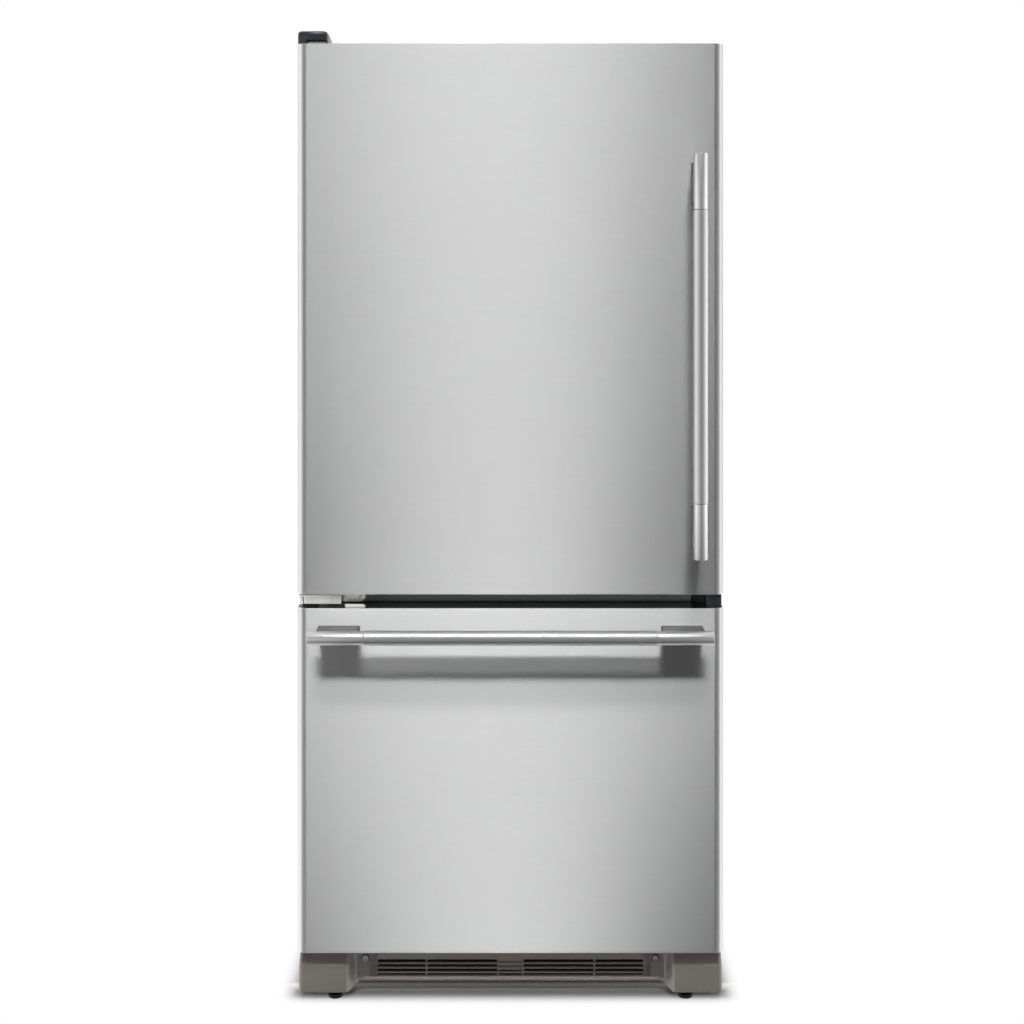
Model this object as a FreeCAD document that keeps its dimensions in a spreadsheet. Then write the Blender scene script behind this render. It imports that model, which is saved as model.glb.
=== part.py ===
"""Bottom-freezer refrigerator: one swing door over one pull-out freezer drawer, as an assembly of pieces.

Frame: millimetres, +Z up, +X to the right of someone facing the doors, -Y towards that person. The origin is
on the floor, in the middle of the outer box. Every size is a cell of the sheet "dims" or is worked out from
those cells, and each piece is bound to the sheet by expressions.
"""
import FreeCAD
import Part
import Sketcher
import math
import os

Vector = FreeCAD.Vector

# ---------------------------------------------------------------------------------------- driving dimensions
DIMENSIONS = {
    # doors, as seen from the front
    "door_overlap": 3,
    "door_top_gap": 2,
    "drawer_height": 604,
    "drawer_bottom": 94,
    "middle_gap": 24,
    "door_depth": 60,
    "corner_radius": 18,
    "skin_sheet": 1.0,
    "skin_return": 12,
    "cap_depth": 14,
    # gasket between a door and the cabinet
    "gasket_depth": 15,
    "gasket_width": 16,
    "gasket_edge": 25,
    "gasket_end": 3,
    "seat_clearance": 0.3,
    # cabinet
    "cabinet_width": 744,
    "cabinet_depth": 680,
    "cabinet_top": 1690,
    "cabinet_bottom": 42,
    "wrapper_sheet": 1.0,
    "front_flange": 20,
    "frame_height": 46,
    "liner_wall": 2.0,
    "side_wall": 48,
    "top_wall": 55,
    "back_wall": 62,
    "mullion_height": 66,
    "freezer_side_wall": 58,
    "freezer_back_wall": 70,
    "freezer_floor": 130,
    "flange_lap": 8,
    # machine compartment under the freezer's step
    "machine_depth": 230,
    "machine_top": 290,
    "step_wall": 50,
    "step_lift": 60,
    "plate_sheet": 1.5,
    # handles
    "handle_length": 697,
    "handle_radius": 12.7,
    "handle_standoff": 50.8,
    "handle_wall": 1.7,
    "ferrule_length": 97,
    "ferrule_radius": 12.0,
    "spigot_length": 12,
    "post_length": 72,
    "post_width": 18,
    "handle_inset": 49,
    "handle_rise": 70.5,
    "drawer_handle_drop": 40,
    "panel_sheet": 2,
    "ferrule_wall": 1.3,
    "ferrule_fit": 0.1,
    "post_inset": 12,
    # hinges
    "hinge_inset": 9,
    "hinge_setback": 30,
    "pin_radius": 4.0,
    "pin_clearance": 0.08,
    "pin_reach": 12,
    "bushing_radius": 7.0,
    "hinge_plate": 4.0,
    "hinge_width": 75,
    "hinge_lip": 15,
    "cover_width": 62,
    "cover_height": 22,
    "cover_wall": 2.0,
    "screw_radius": 2.5,
    "screw_head_radius": 5.5,
    "screw_head_height": 2.5,
    "screw_recess": 1.2,
    "screw_hole_clearance": 0.1,
    "top_hinge_width": 44,
    "top_hinge_run": 80,
    "cover_inset": 0.5,
    "cover_setback": 8,
    "cover_overhang": 6,
    "cover_flare": 9,
    "notch_inset": 18,
    "notch_height": 6,
    "ear_reach": 105,
    "ear_start": 21,
    "hinge_drop": 2,
    "lip_setback": 10,
    "lip_start": 4.5,
    "ear_chamfer": 6,
    "collar_radius": 5.5,
    "collar_height": 16,
    "ear_screw_share": 0.4,
    "ear_screw_inset": 11,
    "spare_inset": 15,
    # base
    "grille_setback": 50,
    "grille_wall": 3.0,
    "shoe_setback": 20,
    "shoe_width": 78,
    "shoe_bottom": 14,
    "grille_bottom": 22,
    "slot_height": 4.4,
    "slot_pitch": 8,
    "slot_first": 33,
    "leg_inset": 61,
    "leg_setback": 41,
    "leg_pad_radius": 14,
    "leg_pad_height": 7,
    "leg_stud_radius": 5,
    "roller_radius": 20,
    "roller_width": 20,
    "roller_inset": 39,
    "roller_from_back": 60,
    "axle_radius": 4,
    "switch_radius": 3,
    "switch_drop": 35,
    "switch_length": 30,
    "ledge_width": 12,
    "ledge_height": 12,
    "ledge_front": -130,
    "mullion_sheet": 1.5,
    "channel_depth": 30,
    "rail_flange": 30,
    "bracket_rise": 8,
    "bracket_half": 11,
    "bracket_sheet": 3,
    "roller_gap": 1.5,
    "cheek_half": 14,
    "cheek_drop": 10,
    "leg_nut_radius": 8,
    "leg_nut_height": 7,
    "grille_gap": 3,
    "shoe_inset": 0.7,
    "shoe_break": 57,
    "shoe_lean": 20,
    "slot_inset": 59.3,
    "slot_rib_x": 150,
    "slot_mid_x": 22,
    "rib_half": 1.5,
    "grille_screw_inset": 37.3,
    "grille_screw_z": 62,
    # fresh-food compartment
    "dyke_depth": 45,
    "dyke_width": 30,
    "dyke_gap": 19,
    "dyke_bottom": 42,
    "dyke_top": 70,
    "shelf_front": 140,
    "shelf_glass_depth": 4,
    "shelf_top_room": 215,
    "shelf_rise": 148,
    "crisper_room": 169,
    "crisper_wall": 2.5,
    "bin_depth": 96,
    "bin_height": 95,
    "bin_wall": 2.5,
    "bin_first": 75,
    "bin_slack": 12,
    "dairy_drop": 168,
    "dairy_height": 90,
    "dairy_depth": 80,
    "lid_hinge_in": 20,
    "lid_barrel": 3.3,
    "lid_pin": 2,
    "lid_sheet": 2.5,
    "lid_open_gap": 15,
    "duct_half": 95,
    "duct_depth": 22,
    "duct_rise": 18,
    "duct_drop": 35,
    "duct_sheet": 2.5,
    "louvre_rise": 60,
    "louvre_pitch": 12,
    "louvre_height": 5,
    "louvre_half": 60,
    "track_depth": 8,
    "track_width": 16,
    "track_x": 200,
    "shelf_duct_gap": 5,
    "shelf_side_gap": 10,
    "trim_side": 8,
    "trim_front": 12,
    "trim_back": 8,
    "trim_height": 7,
    "trim_drop": 8,
    "trim_lip": 12,
    "bracket_drop": 45,
    "bracket_nose": 12,
    "arm_sheet": 3,
    "crisper_cover_depth": 10,
    "crisper_front": 135,
    "cover_side_gap": 0.5,
    "cover_back_gap": 28,
    "cover_nose": 10,
    "cover_frame": 26,
    "nose_drop": 7,
    "nose_lift": 3,
    "glass_rest": 6,
    "slide_rise": -1,
    "slide_height": 8,
    "slide_depth": 5,
    "slide_x": 120,
    "slide_run": 40,
    "slide_length": 40,
    "grip_reach": 6,
    "crisper_back_gap": 60,
    "crisper_head_gap": 4,
    "crisper_mid_gap": 8,
    "crisper_side_gap": 6,
    "crisper_lip": 7,
    "crisper_lip_height": 18,
    "control_half": 150,
    "control_front": 120,
    "control_depth": 170,
    "control_height": 36,
    "control_sheet": 2.5,
    "knob_x": 105,
    "knob_radius": 14,
    "knob_depth": 12,
    "knob_shaft": 3,
    "boss_length": 14,
    "lens_half": 90,
    "lens_inset": 30,
    "lens_drop": 12,
    # freezer drawer
    "drawer_rim_gap": 4,
    "drawer_rim_low": 60,
    "drawer_rim_high": 50,
    "drawer_rim_depth": 12,
    "stop_inset": 3.5,
    "stop_width": 27,
    "stop_setback": 10,
    "stop_depth": 33,
    "stop_gap": 1.3,
    "rail_wall": 2.5,
    "rail_depth": 12,
    "rail_step": 3,
    "basket_gap": 6,
    "basket_back_gap": 14,
    "tray_height": 66,
    "tray_ledge": 7,
    "tray_side_gap": 3,
    "tray_length": 240,
    "basket_wall": 3.0,
    "basket_clear": 20,
    "rail_drop": 212,
    "rail_height": 45,
    "rail_length": 420,
    "rail_clearance": 0.3,
    # cooling parts
    "evap_cover_depth": 78,
    "evap_sheet": 3,
    "evap_flange": 24,
    "evap_fan_drop": 77,
    "evap_fan_radius": 48,
    "fan_tip_gap": 5,
    "fan_hub": 14,
    "fan_depth": 22,
    "fan_shaft": 2.5,
    "fan_front_gap": 2,
    "motor_gap": 1.5,
    "motor_radius": 19,
    "motor_strip": 4,
    "motor_strip_half": 70,
    "blade_width": 22,
    "blade_sheet": 1.6,
    "return_pitch": 75,
    "return_half": 28,
    "coil_half": 240,
    "coil_rise": 50,
    "coil_pitch": 26,
    "coil_setback": 18,
    "coil_tube": 4,
    "fin_pitch": 22,
    "fin_sheet": 0.8,
    "fin_reach": 10,
    "cond_fan_x": -20,
    "cond_fan_z": 165,
    "cond_fan_radius": 70,
    "cond_motor_length": 32,
    "shroud_rear_gap": 6,
    "shroud_head_gap": 26,
    "compressor_inset": 172,
    "compressor_radius": 74,
    "compressor_body": 70,
    "compressor_dome": 32,
    "foot_half": 86,
    "foot_sheet": 3,
    "grommet_height": 14,
    "grommet_radius": 10,
    "pan_inset": 47,
    "pan_length": 235,
    "pan_margin": 14,
    "pan_height": 14,
    "rig_gap": 3,
    "rig_height": 180,
    "cond_tube": 3,
    "bend_swell": 0.6,
    "cond_margin": 36,
    "cond_pitch": 40,
    "cond_rise": 34,
    "cond_row_pitch": 30,
    "line_drop": 14,
    "rear_cover_inset": 3,
    "rear_cover_sheet": 1.5,
    "rear_cover_side": 0.3,
    "vent_start": 70,
    "vent_pitch": 26,
    "vent_width": 12,
    "vent_low": 90,
    "vent_height": 150,
    "inlet_inset": 47,
    "inlet_z": 90,
}

doc = FreeCAD.newDocument("bottom_freezer_refrigerator")
sheet = doc.addObject("Spreadsheet::Sheet", "dims")
for row, (alias, number) in enumerate(DIMENSIONS.items(), start=1):
    sheet.set(f"A{row}", alias)
    sheet.set(f"B{row}", str(number))
    sheet.setAlias(f"B{row}", alias)
doc.recompute()


class Size:
    """A length that carries its present number and the sheet formula that it comes from."""

    def __init__(self, number, formula):
        self.number = float(number)
        self.formula = formula

    @staticmethod
    def of(value):
        return value if isinstance(value, Size) else Size(value, repr(float(value)))

    def __add__(self, other):
        other = Size.of(other)
        return Size(self.number + other.number, f"({self.formula} + {other.formula})")

    def __sub__(self, other):
        other = Size.of(other)
        return Size(self.number - other.number, f"({self.formula} - {other.formula})")

    def __mul__(self, other):
        other = Size.of(other)
        return Size(self.number * other.number, f"({self.formula} * {other.formula})")

    def __truediv__(self, other):
        other = Size.of(other)
        return Size(self.number / other.number, f"({self.formula} / {other.formula})")

    def __radd__(self, other):
        return Size.of(other) + self

    def __rsub__(self, other):
        return Size.of(other) - self

    def __rmul__(self, other):
        return Size.of(other) * self

    def __neg__(self):
        return Size.of(0) - self


def cell(alias):
    """The sheet's cell of that name, as a Size."""
    return Size(sheet.get(alias), f"dims.{alias}")


D = {alias: cell(alias) for alias in DIMENSIONS}

# ------------------------------------------------------------------------------------------------- modelling


def bind(obj, prop, size):
    """Give a property its formula, or its plain number where the size comes from no cell."""
    size = Size.of(size)
    if "dims." in size.formula:
        obj.setExpression(prop, size.formula)
    elif prop.startswith("Placement.Base."):
        place = obj.Placement
        base = Vector(place.Base)
        setattr(base, prop[-1], size.number)
        obj.Placement = FreeCAD.Placement(base, place.Rotation)
    else:
        setattr(obj, prop, size.number)


def move_to(obj, x, y, z):
    """Bind the object's base point."""
    for axis, size in (("x", x), ("y", y), ("z", z)):
        bind(obj, f"Placement.Base.{axis}", size)
    return obj


def box(name, x0, x1, y0, y1, z0, z1):
    """A block between two corners."""
    x0, x1, y0, y1, z0, z1 = (Size.of(v) for v in (x0, x1, y0, y1, z0, z1))
    block = doc.addObject("Part::Box", name)
    bind(block, "Length", x1 - x0)
    bind(block, "Width", y1 - y0)
    bind(block, "Height", z1 - z0)
    return move_to(block, x0, y0, z0)


TURN = {
    "Z": FreeCAD.Rotation(),
    "X": FreeCAD.Rotation(Vector(0, 1, 0), 90),
    "Y": FreeCAD.Rotation(Vector(1, 0, 0), -90),
}


def rod(name, axis, radius, length, x, y, z):
    """A round bar that starts at a point and runs along +X, +Y or +Z."""
    bar = doc.addObject("Part::Cylinder", name)
    bar.Placement = FreeCAD.Placement(Vector(0, 0, 0), TURN[axis])
    bind(bar, "Radius", radius)
    bind(bar, "Height", length)
    return move_to(bar, x, y, z)


def fuse(name, pieces):
    """One object from several pieces."""
    whole = doc.addObject("Part::MultiFuse", name)
    whole.Shapes = pieces
    whole.Refine = True
    return whole


def group(name, pieces):
    """Pieces that stay apart, in one object."""
    bundle = doc.addObject("Part::Compound", name)
    bundle.Links = pieces
    return bundle


def cut(name, base, tools):
    """A base less its tools."""
    tools = tools if isinstance(tools, list) else [tools]
    left = doc.addObject("Part::Cut", name)
    left.Base = base
    left.Tool = tools[0] if len(tools) == 1 else fuse(f"{name}_tools", tools)
    left.Refine = True
    return left


PLANES = {"XY": "XY_Plane", "XZ": "XZ_Plane", "YZ": "YZ_Plane"}


def new_sketch(body, name, plane):
    """An empty sketch on one of the body's planes."""
    sketch = body.newObject("Sketcher::SketchObject", name)
    support = [f for f in body.Origin.OriginFeatures if f.Role == PLANES[plane]][0]
    sketch.AttachmentSupport = [(support, "")]
    sketch.MapMode = "FlatFace"
    return sketch


def pin_vertex(sketch, geometry, vertex, u, v):
    """Tie a vertex of the sketch to two sizes."""
    for kind, size in (("DistanceX", Size.of(u)), ("DistanceY", Size.of(v))):
        index = sketch.addConstraint(Sketcher.Constraint(kind, -1, 1, geometry, vertex, size.number))
        if "dims." in size.formula:
            sketch.setExpression(f"Constraints[{index}]", size.formula)


def join_ends(sketch, count):
    """Close a chain of sketch elements."""
    for index in range(count):
        following = (index + 1) % count
        sketch.addConstraint(Sketcher.Constraint("Coincident", index, 2, following, 1))


def pad_sketch(body, sketch, plane, length, start):
    """Extrude a sketch towards +X, +Y or +Z from where it starts along that axis."""
    pad = body.newObject("PartDesign::Pad", f"{body.Name}_pad")
    pad.Profile = sketch
    bind(pad, "Length", length)
    pad.Reversed = plane == "XZ"
    sketch.Visibility = False
    x, y, z = {"XY": (0, 0, start), "XZ": (0, start, 0), "YZ": (start, 0, 0)}[plane]
    return move_to(body, x, y, z)


def prism(name, plane, points, start, length):
    """A polygon drawn in a plane and extruded along the plane's axis."""
    body = doc.addObject("PartDesign::Body", name)
    sketch = new_sketch(body, f"{name}_outline", plane)
    corners = [(Size.of(u), Size.of(v)) for u, v in points]
    for index, (u, v) in enumerate(corners):
        u1, v1 = corners[(index + 1) % len(corners)]
        sketch.addGeometry(Part.LineSegment(Vector(u.number, v.number, 0), Vector(u1.number, v1.number, 0)))
    join_ends(sketch, len(corners))
    for index, (u, v) in enumerate(corners):
        pin_vertex(sketch, index, 1, u, v)
    return pad_sketch(body, sketch, plane, length, start)


def slab(name, half_width, y0, y1, z0, z1, radius):
    """A door-shaped block: its two upright front edges are rounded."""
    half_width, y0, y1, z0, z1, radius = (Size.of(v) for v in (half_width, y0, y1, z0, z1, radius))
    body = doc.addObject("PartDesign::Body", name)
    sketch = new_sketch(body, f"{name}_outline", "XY")
    w, f, b, r = half_width.number, y0.number, y1.number, radius.number
    right_angle = math.pi / 2
    left = Part.Circle(Vector(r - w, f + r, 0), Vector(0, 0, 1), r)
    right = Part.Circle(Vector(w - r, f + r, 0), Vector(0, 0, 1), r)
    sketch.addGeometry(Part.LineSegment(Vector(-w, b, 0), Vector(-w, f + r, 0)))
    sketch.addGeometry(Part.ArcOfCircle(left, 2 * right_angle, 3 * right_angle))
    sketch.addGeometry(Part.LineSegment(Vector(r - w, f, 0), Vector(w - r, f, 0)))
    sketch.addGeometry(Part.ArcOfCircle(right, 3 * right_angle, 4 * right_angle))
    sketch.addGeometry(Part.LineSegment(Vector(w, f + r, 0), Vector(w, b, 0)))
    sketch.addGeometry(Part.LineSegment(Vector(w, b, 0), Vector(-w, b, 0)))
    join_ends(sketch, 6)
    pin_vertex(sketch, 0, 1, -half_width, y1)
    pin_vertex(sketch, 0, 2, -half_width, y0 + radius)
    pin_vertex(sketch, 2, 1, radius - half_width, y0)
    pin_vertex(sketch, 2, 2, half_width - radius, y0)
    pin_vertex(sketch, 4, 1, half_width, y0 + radius)
    pin_vertex(sketch, 4, 2, half_width, y1)
    for arc in (1, 3):
        index = sketch.addConstraint(Sketcher.Constraint("Radius", arc, radius.number))
        sketch.setExpression(f"Constraints[{index}]", radius.formula)
    return pad_sketch(body, sketch, "XY", z1 - z0, z0)


NODES = []


def node(name, obj):
    """Name an object as a finished piece."""
    obj.Label = name
    NODES.append(obj)
    return obj


SIDES = ((-1, "left"), (1, "right"))


def on_side(side, near, far):
    """The two x values of a mirrored piece, the smaller one first."""
    near, far = Size.of(near), Size.of(far)
    return (near, far) if side > 0 else (-far, -near)

# -------------------------------------------------------------------------------- places worked out of sizes
body_half = D["cabinet_width"] / 2
door_half = body_half + D["door_overlap"]
handle_reach = D["handle_standoff"] + D["handle_radius"]
total_depth = handle_reach + D["door_depth"] + D["gasket_depth"] + D["cabinet_depth"]
door_face = handle_reach - total_depth / 2
door_back = door_face + D["door_depth"]
cabinet_front = door_back + D["gasket_depth"]
cabinet_back = cabinet_front + D["cabinet_depth"]
skin = D["skin_sheet"]
wrap = D["wrapper_sheet"]
lined = D["liner_wall"]
seat = D["seat_clearance"]

drawer_low = D["drawer_bottom"]
drawer_high = drawer_low + D["drawer_height"]
door_low = drawer_high + D["middle_gap"]
door_high = D["cabinet_top"] - D["door_top_gap"]
mullion_low = drawer_high + D["middle_gap"] / 2 - D["mullion_height"] / 2
mullion_high = mullion_low + D["mullion_height"]
foam_low = D["cabinet_bottom"] + D["frame_height"]
room_half = body_half - D["side_wall"]
fresh_top = D["cabinet_top"] - D["top_wall"]
fresh_back = cabinet_back - D["back_wall"]
freezer_back = cabinet_back - D["freezer_back_wall"]
machine_front = cabinet_back - D["machine_depth"]
step_front = machine_front - D["step_wall"]
step_floor = D["machine_top"] + D["step_lift"]
crisper_top = mullion_high + D["crisper_room"]
rail_top = mullion_low - D["rail_drop"]
basket_edge = room_half - D["rail_depth"] - D["rail_step"] * 3
leg_x = body_half - D["leg_inset"]
roller_x = body_half - D["roller_inset"]

hinge_x = D["hinge_inset"] - door_half
hinge_y = door_face + D["hinge_setback"]

# ------------------------------------------------------------------------------------------------ the cabinet
mouth_half = room_half + lined
shell = cut(
    "wrapper_shell",
    box("wrapper_outside", -body_half, body_half, cabinet_front, cabinet_back, D["cabinet_bottom"],
        D["cabinet_top"]),
    [
        box("wrapper_inside", wrap - body_half, body_half - wrap, cabinet_front + wrap, cabinet_back + 5,
            D["cabinet_bottom"] - 5, D["cabinet_top"] - wrap),
        box("wrapper_mouth", -mouth_half, mouth_half, cabinet_front - 5, cabinet_front + 5,
            D["freezer_floor"] - lined, fresh_top + lined),
        box("wrapper_base_opening", wrap - body_half, body_half - wrap, cabinet_front - 5, cabinet_front + 5,
            D["cabinet_bottom"] - 5, foam_low),
    ],
)
switch_x = mouth_half + D["switch_radius"] + 1.5
switch_z = fresh_top - D["switch_drop"]
node("cabinet_wrapper", cut("cabinet_wrapper", shell, rod(
    "switch_hole", "Y", D["switch_radius"] + D["pin_clearance"], 20, switch_x, cabinet_front - 5, switch_z)))

back_sheet = box("back_sheet", wrap - body_half, body_half - wrap, cabinet_back - wrap, cabinet_back,
                 D["machine_top"], D["cabinet_top"] - wrap)
node("back_panel", back_sheet)

fresh_space = box("fresh_space", -room_half, room_half, cabinet_front - 5, fresh_back, mullion_high,
                  fresh_top)
fresh_liner_outside = box("fresh_liner_outside", -mouth_half, mouth_half, cabinet_front, fresh_back + lined,
                          mullion_high - lined, fresh_top + lined)
ledge_top = crisper_top
ledges = [
    box(f"crisper_ledge_{name}", *on_side(side, room_half - D["ledge_width"], room_half + 1),
        D["ledge_front"], fresh_back - 40, ledge_top - D["ledge_height"], ledge_top)
    for side, name in SIDES
]
node("fresh_food_liner", fuse("fresh_food_liner", [
    cut("fresh_liner_shell", fresh_liner_outside, fresh_space)] + ledges))

freezer_front_room = box("freezer_front_room", -room_half, room_half, cabinet_front - 5, step_front,
                         D["freezer_floor"], mullion_low)
freezer_rear_room = box("freezer_rear_room", -room_half, room_half, cabinet_front - 5, freezer_back,
                        step_floor, mullion_low)
freezer_liner_outside = fuse("freezer_liner_outside", [
    box("freezer_liner_front", -mouth_half, mouth_half, cabinet_front, step_front + lined,
        D["freezer_floor"] - lined, mullion_low + lined),
    box("freezer_liner_rear", -mouth_half, mouth_half, cabinet_front, freezer_back + lined,
        step_floor - lined, mullion_low + lined),
])
node("freezer_liner", cut("freezer_liner", freezer_liner_outside, [freezer_front_room, freezer_rear_room]))

rail_sheet = D["mullion_sheet"]
mullion_plate = box("mullion_plate", -mouth_half, mouth_half, cabinet_front, cabinet_front + rail_sheet,
                    mullion_low + lined, mullion_high - lined)

foam_block = box("foam_block", wrap - body_half, body_half - wrap, cabinet_front + wrap, cabinet_back - wrap,
                 foam_low, D["cabinet_top"] - wrap)
node("cabinet_foam", cut("cabinet_foam", foam_block, [
    box("foam_fresh_hollow", -mouth_half, mouth_half, cabinet_front - 5, fresh_back + lined,
        mullion_high - lined, fresh_top + lined),
    box("foam_freezer_hollow", -mouth_half, mouth_half, cabinet_front - 5, step_front + lined,
        D["freezer_floor"] - lined, mullion_low + lined),
    box("foam_step_hollow", -mouth_half, mouth_half, cabinet_front - 5, freezer_back + lined,
        step_floor - lined, mullion_low + lined),
    box("foam_machine_hollow", -body_half, body_half, machine_front, cabinet_back + 5,
        D["cabinet_bottom"], D["machine_top"]),
    box("foam_mullion_seat", -mouth_half, mouth_half, cabinet_front - 5, cabinet_front + rail_sheet,
        mullion_low, mullion_high),
    rod("foam_switch_pocket", "Y", D["switch_radius"] + 1, D["switch_length"] + 10, switch_x,
        cabinet_front - 5, switch_z),
]))
node("door_switch_plunger", rod("door_switch_plunger", "Y", D["switch_radius"],
                                D["gasket_depth"] - seat + D["switch_length"] - 2, switch_x,
                                door_back + seat, switch_z))

# ------------------------------------------------------------------------------------- base frame and grille
plate = D["plate_sheet"]
inner_half = body_half - wrap
leg_y = door_face + D["leg_setback"]
roller_y = cabinet_back - D["roller_from_back"]
frame_low = D["cabinet_bottom"]
machine_floor = frame_low + plate
shoe_low = D["shoe_bottom"]
bracket_z = frame_low + D["bracket_rise"]
roller_gap = D["roller_gap"]
frame_pieces = [
    cut("front_channel",
        box("front_channel_block", -inner_half, inner_half, cabinet_front + wrap,
            cabinet_front + wrap + D["channel_depth"], frame_low, foam_low),
        box("front_channel_hollow", -inner_half + 5, inner_half - 5, cabinet_front + wrap + plate,
            cabinet_front + wrap + D["channel_depth"] + 5, frame_low + plate, foam_low - plate)),
    box("machine_roof", -inner_half, inner_half, machine_front, cabinet_back - wrap,
        D["machine_top"] - plate, D["machine_top"]),
    box("machine_bulkhead", -inner_half, inner_half, machine_front, machine_front + plate,
        frame_low, D["machine_top"]),
    box("machine_floor", -inner_half, inner_half, machine_front, cabinet_back - wrap,
        frame_low, machine_floor),
]
roller_holes = []
for side, name in SIDES:
    frame_pieces += [
        box(f"side_plate_{name}", *on_side(side, inner_half - plate, inner_half),
            cabinet_front + wrap, machine_front + 1, frame_low, foam_low),
        box(f"machine_side_{name}", *on_side(side, inner_half - plate, inner_half),
            machine_front, cabinet_back - wrap, frame_low, D["machine_top"]),
        box(f"side_flange_{name}", *on_side(side, inner_half - D["rail_flange"], inner_half),
            cabinet_front + wrap, machine_front + 1, frame_low, frame_low + plate),
        box(f"top_flange_{name}", *on_side(side, inner_half - D["rail_flange"], inner_half),
            cabinet_front + wrap, machine_front + 1, foam_low - plate, foam_low),
        cut(f"leg_bracket_{name}",
            box(f"leg_bracket_plate_{name}",
                *on_side(side, leg_x - D["bracket_half"], leg_x + D["bracket_half"]),
                leg_y - D["bracket_half"], cabinet_front + wrap + 1, bracket_z,
                bracket_z + D["bracket_sheet"]),
            rod(f"leg_hole_{name}", "Z", D["leg_stud_radius"] + D["pin_clearance"], 40,
                leg_x * side, leg_y, bracket_z - 10)),
        rod(f"roller_axle_{name}", "X", D["axle_radius"], D["roller_width"] + 2 * roller_gap + 2 * plate,
            roller_x * side - D["roller_width"] / 2 - roller_gap - plate, roller_y, D["roller_radius"]),
    ]
    for edge in (-1, 1):
        inner_face = roller_x * side + (D["roller_width"] / 2 + roller_gap) * edge
        outer_face = inner_face + plate * edge
        low, high = (inner_face, outer_face) if edge > 0 else (outer_face, inner_face)
        frame_pieces.append(box(
            f"roller_cheek_{name}_{edge + 1}", low, high, roller_y - D["cheek_half"],
            roller_y + D["cheek_half"], D["roller_radius"] - D["cheek_drop"], machine_floor))
node("base_frame", fuse("base_frame", frame_pieces))

for side, name in SIDES:
    pad = rod(f"leg_pad_{name}", "Z", D["leg_pad_radius"], D["leg_pad_height"], leg_x * side, leg_y, 0)
    collar = rod(f"leg_nut_{name}", "Z", D["leg_nut_radius"], D["leg_nut_height"], leg_x * side, leg_y,
                 D["leg_pad_height"] - 1)
    stud = rod(f"leg_stud_{name}", "Z", D["leg_stud_radius"], bracket_z + 18, leg_x * side, leg_y, 2)
    node(f"leveling_leg_{name}", fuse(f"leveling_leg_{name}", [pad, collar, stud]))

for side, name in SIDES:
    start = roller_x * side - D["roller_width"] / 2
    wheel = rod(f"roller_tyre_{name}", "X", D["roller_radius"], D["roller_width"], start, roller_y,
                D["roller_radius"])
    bore = rod(f"roller_bore_{name}", "X", D["axle_radius"] + D["pin_clearance"], D["roller_width"] + 10,
               start - 5, roller_y, D["roller_radius"])
    node(f"rear_roller_{name}", cut(f"rear_roller_{name}", wheel, bore))

grille_face = door_face + D["grille_setback"]
shoe_face = door_face + D["shoe_setback"]
grille_high = drawer_low - D["grille_gap"]
shoe_out = door_half - D["shoe_inset"]
shoe_in = shoe_out - D["shoe_width"]
gw = D["grille_wall"]
shoe_break = D["shoe_break"]
shoe_lean = D["shoe_lean"]
slots = []
slot_far = shoe_in - D["slot_inset"]
slot_edges = [(-slot_far, -D["slot_rib_x"] - D["rib_half"]),
              (D["rib_half"] - D["slot_rib_x"], -D["slot_mid_x"] - D["rib_half"]),
              (D["rib_half"] - D["slot_mid_x"], D["slot_mid_x"] - D["rib_half"]),
              (D["slot_mid_x"] + D["rib_half"], D["slot_rib_x"] - D["rib_half"]),
              (D["slot_rib_x"] + D["rib_half"], slot_far)]
for row in range(4):
    middle = D["slot_first"] + D["slot_pitch"] * row
    for column, (x0, x1) in enumerate(slot_edges):
        slots.append(box(f"slot_{row}_{column}", x0, x1, grille_face - 5, grille_face + gw + 5,
                         middle - D["slot_height"] / 2, middle + D["slot_height"] / 2))
screw_x = shoe_in - D["grille_screw_inset"]
screw_z = D["grille_screw_z"]
grille_pieces = [cut("grille_plate",
                     box("grille_sheet", -shoe_in - gw, shoe_in + gw, grille_face, grille_face + gw,
                         D["grille_bottom"], grille_high), slots)]
for side, name in SIDES:
    x_out, x_in = (shoe_in, shoe_out) if side > 0 else (-shoe_out, -shoe_in)
    outside = prism(f"shoe_outside_{name}", "YZ", [
        (cabinet_front - seat, shoe_low), (shoe_face, shoe_low), (shoe_face, shoe_break),
        (shoe_face + shoe_lean, grille_high), (cabinet_front - seat, grille_high)], x_out, x_in - x_out)
    inside = prism(f"shoe_inside_{name}", "YZ", [
        (cabinet_front + 5, shoe_low - 5), (shoe_face + gw, shoe_low - 5), (shoe_face + gw, shoe_break),
        (shoe_face + shoe_lean + gw, grille_high - gw), (cabinet_front + 5, grille_high - gw)],
        x_out + gw, x_in - x_out - gw * 2)
    grille_pieces.append(cut(f"shoe_{name}", outside, inside))
    grille_pieces.append(box(f"grille_tab_{name}", *on_side(side, screw_x - 12, screw_x + 12),
                             grille_face + gw - 1, cabinet_front + wrap, screw_z - 9, screw_z + 9))

# ------------------------------------------------------------------------------------------ screws and hinges
SCREWS = []


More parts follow.
